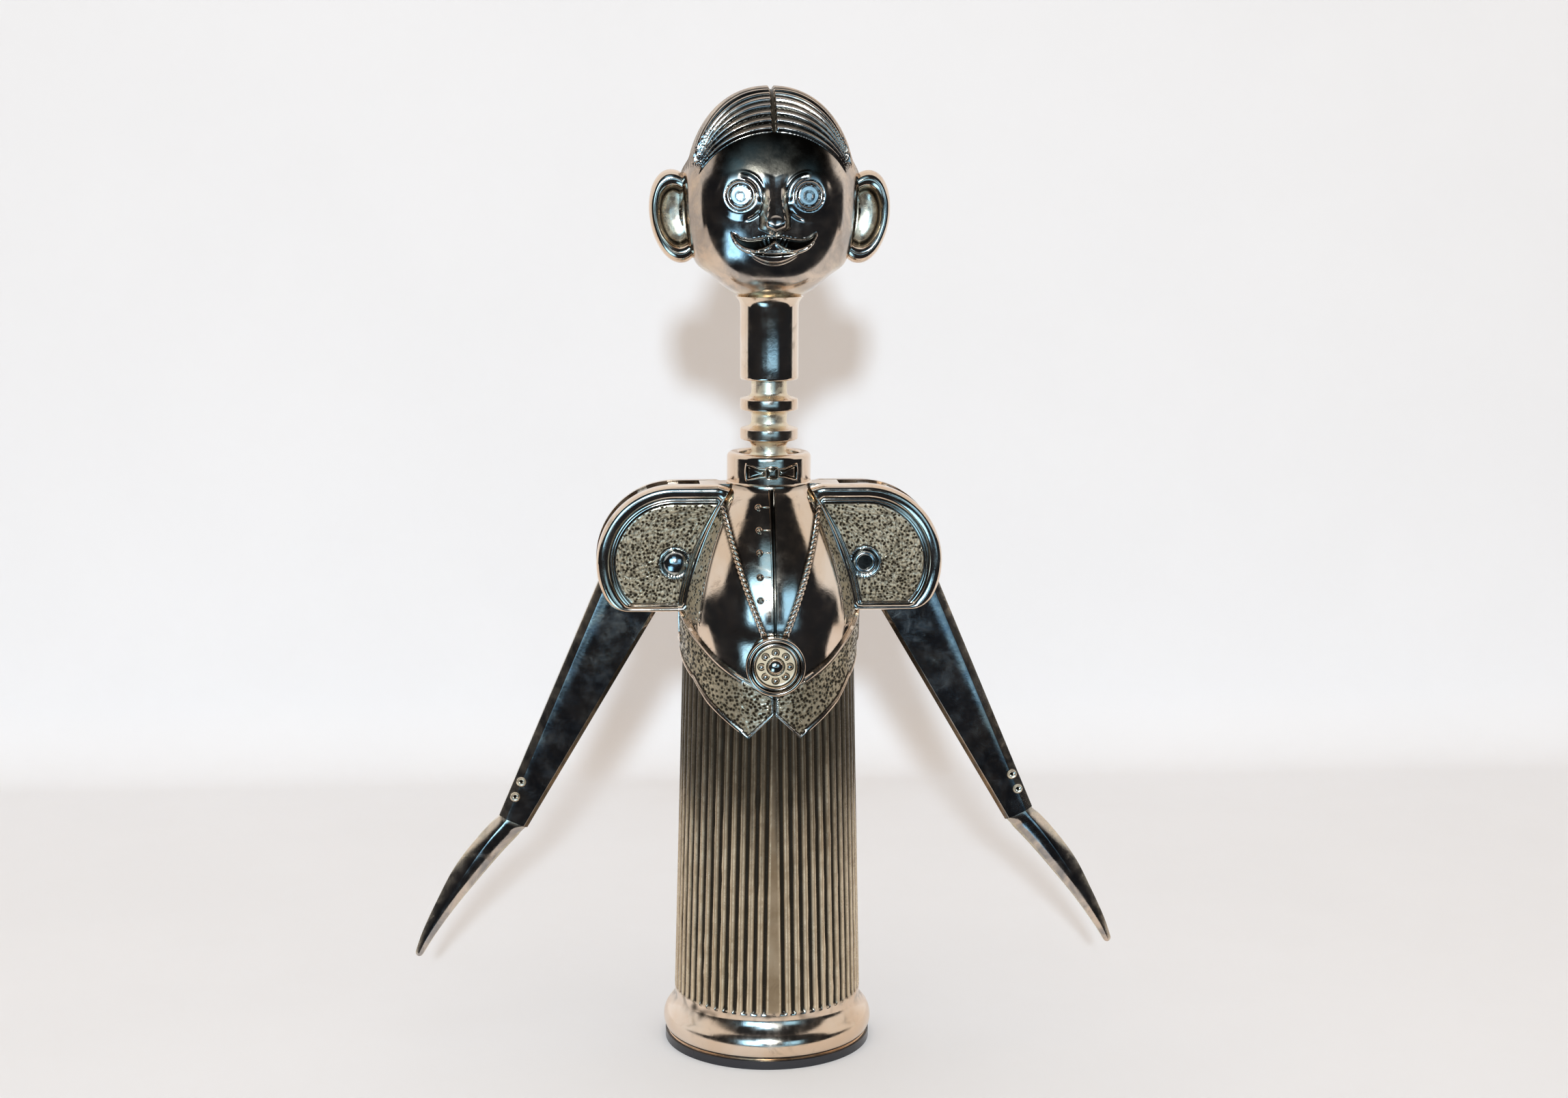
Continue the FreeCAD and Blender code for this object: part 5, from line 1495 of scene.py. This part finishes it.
def nose_relief(across, height):
    """Wedge nose with a flat front, slanted flanks and a rimmed foot that runs to a point."""
    level = height - 0.40 * min(across, 3.7) + 0.25
    if not NOSE_LOW < level < NOSE_ROOT or across > 5.0:
        return NO_RELIEF
    out = along_table(NOSE_REACH, level)
    front, foot = along_table(NOSE_FRONT, level), along_table(NOSE_FOOT, level)
    flank = clamp((across - front) / (foot - front))
    ridge = 1.0 - flank * (0.86 + 0.14 * flank)
    relief = mm(settings("head").nose_reach) * out * ridge
    relief += 0.10 * swell(across - front, 0.3) * ease(0.1, 0.35, out)
    ball = math.hypot(across, height - NOSE_BALL)
    relief += 0.35 * math.sqrt(max(1.0 - (ball / 1.9) ** 2, 0.0))
    relief += 0.28 * bead(level - 196.85, 0.3) * ease(foot + 0.1, foot - 0.2, across)
    strong = ease(0.1, 0.4, out)
    tarnish = swell(across - foot - 0.1, 0.28) * strong * ease(196.6, 197.2, level)
    # Painted dark reflection: the flat front of the nose is painted darker.
    tarnish += 0.4 * ease(front - 0.1, front - 0.4, across) * strong
    tarnish += 0.8 * swell(level - 196.55, 0.2) * ease(foot + 0.3, foot, across)
    tarnish += 0.5 * swell(across - front, 0.14) * strong
    # Painted reflection: the slanted flanks are painted cream.
    cream = 0.85 * swell(flank - 0.55, 0.5) * strong
    return relief, tarnish, cream


def moustache_relief(across, height):
    """Handlebar moustache, combed beside the middle, over a thin rim."""
    if across > MOUSTACHE_END or not MOUSTACHE_LOW < height < MOUSTACHE_HIGH:
        return NO_RELIEF
    line = along_table(MOUSTACHE_MIDDLE, across)
    thick = along_table(MOUSTACHE_HALF, across)
    away = (height - line) / thick
    relief = tarnish = 0.0
    if abs(away) < 1.0:
        combed = ease(3.9, 1.6, across) * ease(0.2, 0.5, across)
        comb = math.sin(across * 6.6 - 2.6 * (height - line)) * combed
        body = math.sqrt(1.0 - away ** 4)
        relief = mm(settings("head").moustache_relief) * body * ease(0.0, 0.9, thick) + 0.12 * comb * body
        # Painted dark reflection: the body of the moustache is painted black, a little lighter on the
        # combed strands.
        tarnish = 1.0 - 0.45 * ease(0.1, 0.8, comb) * ease(-0.2, 0.3, away)
        tarnish *= ease(10.0, 9.5, across) * ease(0.86, 0.72, abs(away))
    rim = height - (line - thick - 0.36)
    faded = ease(9.9, 8.6, across) * ease(0.1, 0.9, across)
    relief += 0.26 * bead(rim, 0.3) * faded
    tarnish += 0.95 * swell(abs(away) - 1.03, 0.13 / thick) * ease(10.25, 9.7, across)
    tarnish += 0.4 * swell(rim + 0.42, 0.16) * faded
    # Painted highlight: the thin rim under the moustache is painted cream.
    return relief, tarnish, 0.5 * swell(rim, 0.3) * faded


def mouth_relief(across, height):
    """Smile with a bright upper lip, a dark gap and a full lower lip."""
    if across > MOUTH_END or not MOUTH_LOW < height < MOUTH_HIGH:
        return NO_RELIEF
    ends = across / 5.8
    upper = 191.75 + 0.7 * ends * ends
    lower = 189.75 + 2.5 * ends * ends
    fade = ease(1.04, 0.8, ends)
    relief = 0.45 * swell(height - upper - 0.45, 0.5) * fade
    relief -= 0.4 * swell(height - upper + 0.1, 0.28) * fade
    tarnish = 0.9 * swell(height - upper + 0.08, 0.2) * fade
    lip = (height - 0.5 * (upper + lower)) / max(0.5 * (upper - lower), 0.06)
    if abs(lip) < 1.0 and ends < 1.0:
        relief += 0.45 * math.sqrt(1.0 - lip * lip) * fade
        # Painted shade: the lower lip is painted darker towards the gap under the upper lip.
        tarnish += 0.25 * ease(-0.8, 0.4, lip) * fade
    relief += 0.16 * bead(height - lower + 0.25, 0.25) * fade
    tarnish += 0.8 * swell(height - lower - 0.05, 0.15) * fade
    tarnish += 0.6 * swell(height - lower + 0.62, 0.16) * fade
    # Painted highlight: the rolled rim of the lower lip is painted cream.
    return relief, tarnish, 0.3 * swell(height - lower + 0.25, 0.3) * fade * ease(0.9, 0.2, tarnish)


def hair_relief(point):
    """Height of the combed hair over the head, and its finish with painted shade on each ridge."""
    sizes = settings("head")
    deep = math.sqrt(max(egg_radius(point.z) ** 2 - point.x * point.x, 0.0))
    front = ease(1.5, 8.0, -point.y)
    over = Vector((point.y * (1.0 - front) - deep * front, point.z)) - HAIR_AXIS
    reach = over.length
    turn = math.atan2(over.y, -over.x)
    if turn < -0.5 * math.pi:
        turn += 2.0 * math.pi
    if turn < HAIR_START - 0.04 or turn > HAIR_END:
        return NO_RELIEF
    near = ease(2.8, 7.5, reach)
    step = (turn - HAIR_START) / sizes.hair_step
    phase = step - math.floor(step)
    ridge = ease(0.0, 0.34, phase) * (1.0 - 0.5 * ease(0.3, 0.95, phase)) * ease(1.0, 0.9, phase)
    edge = ease(HAIR_START - 0.01, HAIR_START + 0.008, turn) * ease(HAIR_END, HAIR_END - 0.02, turn)
    height = mm(sizes.hair_relief) * (0.2 + ridge) * near * edge
    gap = min(phase, 1.0 - phase)
    # Dark groove between ridges, and painted shade on the upper slope of each ridge.
    tarnish = max(ease(0.24, 0.11, gap), 0.8 * ease(0.34, 0.62, phase)) * near * edge
    parting = abs(point.x)
    height *= ease(0.3, 0.75, parting)
    height -= 0.12 * ease(0.45, 0.2, parting) * edge
    tarnish *= ease(0.35, 0.6, parting)
    tarnish = max(tarnish, 0.75 * swell(parting - 0.48, 0.14) * edge)
    return height, clamp(tarnish), 0.9 * ease(0.46, 0.36, parting) * edge


def ear_root(point):
    """How far the head swells out towards the ears."""
    sizes = settings("head")
    along = ease(214.0, 209.4, point.z) * ease(185.6, 190.4, point.z)
    beside = ease(8.5, 1.0, abs(point.y + 2.0)) * ease(9.0, 16.0, abs(point.x))
    return mm(sizes.ear_swell) * along * beside


def head_surface(turn, climb):
    """Finished surface of the head with its tarnish and painted shade, grain, and cream with painted
    highlights.
    """
    step = 0.006
    point = egg_point(turn, climb)
    along = egg_point(turn + step, climb) - egg_point(turn - step, climb)
    upward = egg_point(turn, min(climb + step, 1.0)) - egg_point(turn, climb - step)
    normal = along.cross(upward)
    normal = normal.normalized() if normal.length > 1e-9 else Vector((0, 0, 1))
    height, tarnish, cream = hair_relief(point)
    placed = point + normal * (height + ear_root(point))
    side = abs(point.x)
    if point.y < -6.0 and 184.0 < point.z < 214.0:
        for part in (eye_relief, nose_relief, moustache_relief, mouth_relief):
            relief, dark, light = part(side, point.z)
            placed.y -= relief
            tarnish, cream = max(tarnish, clamp(dark)), max(cream, clamp(light))
    # Painted dark reflection: the forehead below the hairline is painted dark.
    if point.y < 0.0 and height <= 0.0:
        brow = ease(207.0, 210.5, point.z) * ease(16.5, 10.0, side)
        tarnish = max(tarnish, 0.88 * brow)
    root = ease(3.5, 0.5, abs(point.z - 187.5)) * ease(13.0, 15.5, side) * 0.5
    low = ease(184.5, 181.5, point.z) * 0.7
    return placed, tarnish, 0.0, max(cream, root, low)


def even_turns(start, columns):
    """Turns of half a round that stand at even distances along the head's widest line."""
    fine = [start + math.pi * step / 2000 for step in range(2001)]
    line = [egg_point(turn, 0.0) for turn in fine]
    lengths = [0.0]
    for here, onward in zip(line, line[1:]):
        lengths.append(lengths[-1] + (onward - here).length)
    turns, index = [], 0
    for column in range(columns + 1):
        wanted = lengths[-1] * column / columns
        while index < 2000 and lengths[index] < wanted - 1e-9:
            index += 1
        turns.append(fine[index])
    return turns


def build_head_half(name, node, rows, columns, start):
    """Front or back half of the head, closed at the seam through the ears."""
    climbs = [low + (high - low) * step / count for low, high, count in rows for step in range(count)]
    climbs.append(rows[-1][1])
    turns = even_turns(start, columns)

    def place(u, v):
        return head_surface(turns[int(round(u * columns))], climbs[int(round(v * (len(climbs) - 1)))])

    bm = new_shape()
    add_sheet(bm, columns, len(climbs) - 1, place)
    bmesh.ops.remove_doubles(bm, verts=bm.verts, dist=2e-3)
    bmesh.ops.contextual_create(bm, geom=[edge for edge in bm.edges if edge.is_boundary])
    finish_piece(bm, name, "silver_face", node, body="spindle", crease=60.0)


def build_head():
    """Both halves of the head."""
    build_head_half("head_front", "head_face_shell", FACE_ROWS, 270, -0.5 * math.pi)
    build_head_half("head_back", "head_back_shell", BACK_ROWS, 180, 0.5 * math.pi)


# Ear section from the middle of the cup over the rolled rim to the back: share of the outline, depth.
EAR_SECTION = ((0.0, 1.9), (0.25, 1.75), (0.42, 1.35), (0.52, 0.85), (0.585, 0.1), (0.625, -0.9),
               (0.655, -1.55), (0.70, -2.0), (0.765, -2.3), (0.83, -2.32), (0.89, -2.1), (0.945, -1.6),
               (0.98, -0.95), (1.0, -0.1), (0.99, 0.7), (0.95, 1.4), (0.87, 2.0), (0.74, 2.45), (0.5, 2.7),
               (0.25, 2.8), (0.0, 2.8))


def build_ears():
    """Both ears: deep cups with a rolled rim, leaning outwards at the top."""
    sizes = settings("head")
    wide, tall = mm(sizes.ear_half_width), mm(sizes.ear_half_height)
    lean = sizes.ear_lean
    centre = Vector((FACE_HIGH.x - wide - 0.65, -0.5, 200.2))
    section = [(r0 + (r1 - r0) * step / 3, y0 + (y1 - y0) * step / 3)
               for (r0, y0), (r1, y1) in zip(EAR_SECTION, EAR_SECTION[1:]) for step in range(3)]
    section.append(EAR_SECTION[-1])
    bm = new_shape()
    for side in (-1, 1):
        def place(u, v, side=side):
            turn = 2.0 * math.pi * u
            share, depth = section[int(round(v * (len(section) - 1)))]
            across = wide * share * math.cos(turn)
            along = tall * share * math.sin(turn) * (1.0 + 0.03 * math.cos(turn))
            x = centre.x + across * math.cos(lean) + along * math.sin(lean)
            z = centre.z - across * math.sin(lean) + along * math.cos(lean)
            point = Vector((side * x, centre.y + depth, z))
            if v >= 0.5:
                return point
            # Painted shade: the steep wall between the cup and the rolled rim is painted dark.
            return point, 0.95 * swell(share - 0.585, 0.085), 0.0, 0.95 * ease(0.60, 0.46, share)

        add_sheet(bm, 120, len(section) - 1, place)
    finish_piece(bm, "head_ears", "silver_polished", "head_face_shell", body="spindle", crease=60.0)


# ---- Stage ------------------------------------------------------------------------------------------

def paper(tone):
    """Matt paper that is clear from behind, so that the figure can be seen from there."""
    board = Finish("sweep_paper")
    darker = [part * 0.985 for part in tone]
    board.made({
        "Base Color": board.blend(board.cloud((14.0, 5.0, 0.6), 0.3, 0.7), tone, darker),
        "Roughness": 0.9,
        "Normal": board.bump(board.noise(260.0, 3.0), 0.04, 0.001),
    })
    behind = board.add("NewGeometry").outputs["Backfacing"]
    clear = board.add("BsdfTransparent").outputs[0]
    board.put(board.output.inputs["Surface"], board.mix(behind, board.shader.outputs[0], clear))
    return board.material


def build_paper():
    """A sheet of paper that runs from just in front of the figure up the wall behind it."""
    look = settings("stage")
    half, wall, height = look.paper_half_width, look.wall_distance, look.wall_height
    front, bend = -look.paper_front, look.paper_bend
    steps = 12
    path = [(front, 0.0)]
    for step in range(steps + 1):
        turn = 0.5 * math.pi * step / steps
        path.append((wall - bend + bend * math.sin(turn), bend - bend * math.cos(turn)))
    path.append((wall, height))
    bm = bmesh.new()
    sheet = [bm.verts.new((-half, y, z)) for y, z in path]
    edges = [bm.edges.new(pair) for pair in zip(sheet, sheet[1:])]
    wide = bmesh.ops.extrude_edge_only(bm, edges=edges)
    moved = [item for item in wide["geom"] if isinstance(item, bmesh.types.BMVert)]
    bmesh.ops.translate(bm, verts=moved, vec=(2.0 * half, 0, 0))
    bm.normal_update()
    for face in bm.faces:
        face.smooth = True
        if face.normal.z - face.normal.y < 0:
            face.normal_flip()
    sweep = add_object(bm, "paper_sweep", paper(look.paper))


def add_lamp(name, place, size, power, colour, mirrored):
    """A square lamp aimed at the middle of the figure; mirrored says whether the metal shows it."""
    light = bpy.data.lights.new(name, "AREA")
    light.shape = "RECTANGLE"
    light.size = light.size_y = size
    light.energy = power
    light.color = colour
    holder = bpy.data.objects.new(name, light)
    bpy.context.scene.collection.objects.link(holder)
    holder.location = place
    holder.visible_glossy = mirrored
    middle = Vector((0.0, 0.0, 0.5 * CAD_BOX[1].z))
    holder.rotation_euler = (middle - Vector(place)).to_track_quat("-Z", "Y").to_euler()


def build_lamps():
    """A small lamp beside the camera and a large soft one above."""
    look = settings("stage")
    add_lamp("flash", (-0.085, -1.15, 0.43), 0.045, look.flash_power, (0.80, 0.97, 1.12), True)
    add_lamp("overhead", (0.0, -0.1, 1.2), 1.0, look.overhead_power, (1.0, 0.98, 0.95), False)


# Patches of window light in front, by direction: place sideways, reach sideways, lowest and highest
# height, softness of both, share of the full brightness.
WINDOWS = (
    (-0.33, 0.23, -0.02, 0.38, 0.07, 1.0),
    (0.40, 0.2, 0.0, 0.3, 0.07, 0.35),
    (-0.40, 0.25, -0.75, -0.38, 0.04, 0.7),
    (0.14, 0.5, -0.115, -0.05, 0.015, 0.3),
    (-0.10, 0.22, 0.30, 0.58, 0.08, 0.3),
)


def build_world():
    """White behind the figure, soft light on the paper, a dark room with a light ceiling in the metal."""
    look = settings("stage")
    world = bpy.data.worlds.new("studio")
    bpy.context.scene.world = world
    world.use_nodes = True
    board = Board(world.node_tree, "Generated")
    axes = board.axes()

    def background(colour, strength=1.0):
        return board.add("Background", {"Color": colour, "Strength": strength}).outputs[0]

    def step(source, low, high):
        return board.spread(source, low, high, curve="SMOOTHERSTEP")

    def glow(aside, reach, low, high, soft, share):
        away = board.maths("ABSOLUTE", board.maths("SUBTRACT", axes["X"], aside), 0.0)
        above_low = step(axes["Z"], low - soft, low + soft)
        below_high = step(axes["Z"], high + soft, high - soft)
        in_front = step(axes["Y"], -0.2, -0.5)
        return board.times(step(away, reach, 0.35 * reach), in_front, above_low, below_high, share)

    above = board.spread(axes["Z"], look.ceiling_start, look.ceiling_start + 0.12)
    room = board.mix(above, background(look.room), background(look.ceiling))
    # the light walls reach further forward the higher one looks
    lean = board.times(step(axes["Z"], 0.02, 0.30), -look.wall_lean)
    depth = board.maths("SUBTRACT", axes["Y"], lean)
    walls = step(depth, look.room_side - 0.05, look.room_side + 0.05)
    room = board.mix(walls, room, background(look.sides))
    near = board.maths("MAXIMUM", *(glow(*window) for window in WINDOWS))
    room = board.mix(near, room, background(look.window, look.window_strength))
    path = board.add("LightPath").outputs
    lit = board.mix(path["Is Glossy Ray"], background(look.ambient), room)
    shown = board.mix(path["Is Camera Ray"], lit, background(look.backdrop))
    board.add("OutputWorld", {"Surface": shown})


# The view: its turn, tilt and roll in degrees, its place in metres and its lens in millimetres.
VIEW_TURN, VIEW_TILT, VIEW_ROLL = 4.6, 9.34, 0.27
VIEW_PLACE = Vector((-0.04154, -0.56248, 0.214))
VIEW_LENS, VIEW_SENSOR = 54.8, 36.0


def build_camera():
    """The view from just above the front, with plain colours."""
    yaw, pitch, roll = (math.radians(angle) for angle in (VIEW_TURN, VIEW_TILT, VIEW_ROLL))
    ahead = Vector((math.sin(yaw) * math.cos(pitch), math.cos(yaw) * math.cos(pitch), -math.sin(pitch)))
    right = ahead.cross(Vector((0, 0, 1))).normalized()
    up = right.cross(ahead)
    level = right * math.cos(roll) + up * math.sin(roll)
    top = up * math.cos(roll) - right * math.sin(roll)
    lens = bpy.data.cameras.new("view")
    lens.lens = VIEW_LENS
    lens.sensor_width = VIEW_SENSOR
    lens.sensor_fit = "HORIZONTAL"
    lens.clip_start = 0.01
    holder = bpy.data.objects.new("view", lens)
    bpy.context.scene.collection.objects.link(holder)
    turn = Matrix((level, top, -ahead)).transposed()
    holder.matrix_world = Matrix.Translation(VIEW_PLACE) @ turn.to_4x4()
    bpy.context.scene.camera = holder
    bpy.context.scene.view_settings.view_transform = "Standard"


def build_cad_finishes():
    """Finishes of the solids that are shown as they are."""
    for node, name in (("bottle_guide", "black_plastic"), ("collar_guide_bush", "black_plastic"),
                       ("pivot_washers", "nylon"), ("worm", "worm_steel"), ("worm_pin", "worm_steel"),
                       ("head_pin", "rivet_nickel")):
        mesh = frame["nodes"][node].data
        mesh.materials.clear()
        mesh.materials.append(finish(name))


# ---- Operators ----------------------------------------------------------------------------------------

class AddTrousers(bpy.types.Operator):
    """Adds the fluted barrel with its base ring"""
    bl_idname = "waiter.add_trousers"
    bl_label = "Trousers"

    def execute(self, context):
        build_barrel()
        return {"FINISHED"}


class AddWaistcoat(bpy.types.Operator):
    """Adds the chest, collar, hem, shirt front, chain, medallion and bow tie"""
    bl_idname = "waiter.add_waistcoat"
    bl_label = "Waistcoat"

    def execute(self, context):
        for build in (build_torso, build_hem, build_shirt_front, build_chain, build_medallion,
                      build_bow_tie):
            build()
        return {"FINISHED"}


class AddShoulders(bpy.types.Operator):
    """Adds the four shoulder cheeks, the bridge between them and the pivot rivets"""
    bl_idname = "waiter.add_shoulders"
    bl_label = "Shoulders"

    def execute(self, context):
        for side, word in ((-1, "left"), (1, "right")):
            for facing, way in ((-1, "front"), (1, "back")):
                build_shoulder(side, facing, f"{word}_shoulder_{way}")
            build_rivet(side, f"{word}_rivet", f"{word}_pivot_rivet")
        build_shoulder_bridge()
        return {"FINISHED"}


class AddArms(bpy.types.Operator):
    """Adds both levers with sleeve, cuff buttons and hand"""
    bl_idname = "waiter.add_arms"
    bl_label = "Arms"

    def execute(self, context):
        build_lever(-1, "left_arm_and_hand", "left_lever", "left_arm")
        build_lever(1, "right_arm_and_hand", "right_lever", "right_arm")
        return {"FINISHED"}


class AddNeck(bpy.types.Operator):
    """Adds the neck rings and the neck tube"""
    bl_idname = "waiter.add_neck"
    bl_label = "Neck"

    def execute(self, context):
        build_rack()
        build_sleeve()
        return {"FINISHED"}


class AddHead(bpy.types.Operator):
    """Adds the head with its face and hair, and the ears"""
    bl_idname = "waiter.add_head"
    bl_label = "Head"

    def execute(self, context):
        build_head()
        build_ears()
        return {"FINISHED"}


class FinishSolids(bpy.types.Operator):
    """Gives the plain solids their plastic, steel and nylon finishes"""
    bl_idname = "waiter.finish_solids"
    bl_label = "Finish solids"

    def execute(self, context):
        build_cad_finishes()
        return {"FINISHED"}


class AddStage(bpy.types.Operator):
    """Adds paper sweep, lamps, room light and camera"""
    bl_idname = "waiter.add_stage"
    bl_label = "Stage"

    def execute(self, context):
        for build in (build_paper, build_lamps, build_world, build_camera):
            build()
        return {"FINISHED"}


OPERATORS = (AddTrousers, AddWaistcoat, AddShoulders, AddArms, AddNeck, AddHead, FinishSolids, AddStage)


class WaiterPanel(bpy.types.Panel):
    bl_label = "Wine waiter corkscrew"
    bl_idname = "VIEW3D_PT_waiter"
    bl_space_type = "VIEW_3D"
    bl_region_type = "UI"
    bl_category = "Waiter"

    def draw(self, context):
        for operator in OPERATORS:
            self.layout.operator(operator.bl_idname)
        for group, kind in SETTINGS.items():
            box = self.layout.box()
            for name in kind.__annotations__:
                box.prop(getattr(context.scene, group), name)


def register():
    for kind in (*SETTINGS.values(), *OPERATORS, WaiterPanel):
        bpy.utils.register_class(kind)
    for group, kind in SETTINGS.items():
        setattr(bpy.types.Scene, group, PointerProperty(type=kind))


def unregister():
    for group in SETTINGS:
        delattr(bpy.types.Scene, group)
    for kind in reversed((*SETTINGS.values(), *OPERATORS, WaiterPanel)):
        bpy.utils.unregister_class(kind)


def main():
    register()
    for operator in OPERATORS:
        group, name = operator.bl_idname.split(".")
        getattr(getattr(bpy.ops, group), name)()


if __name__ == "__main__":
    main()
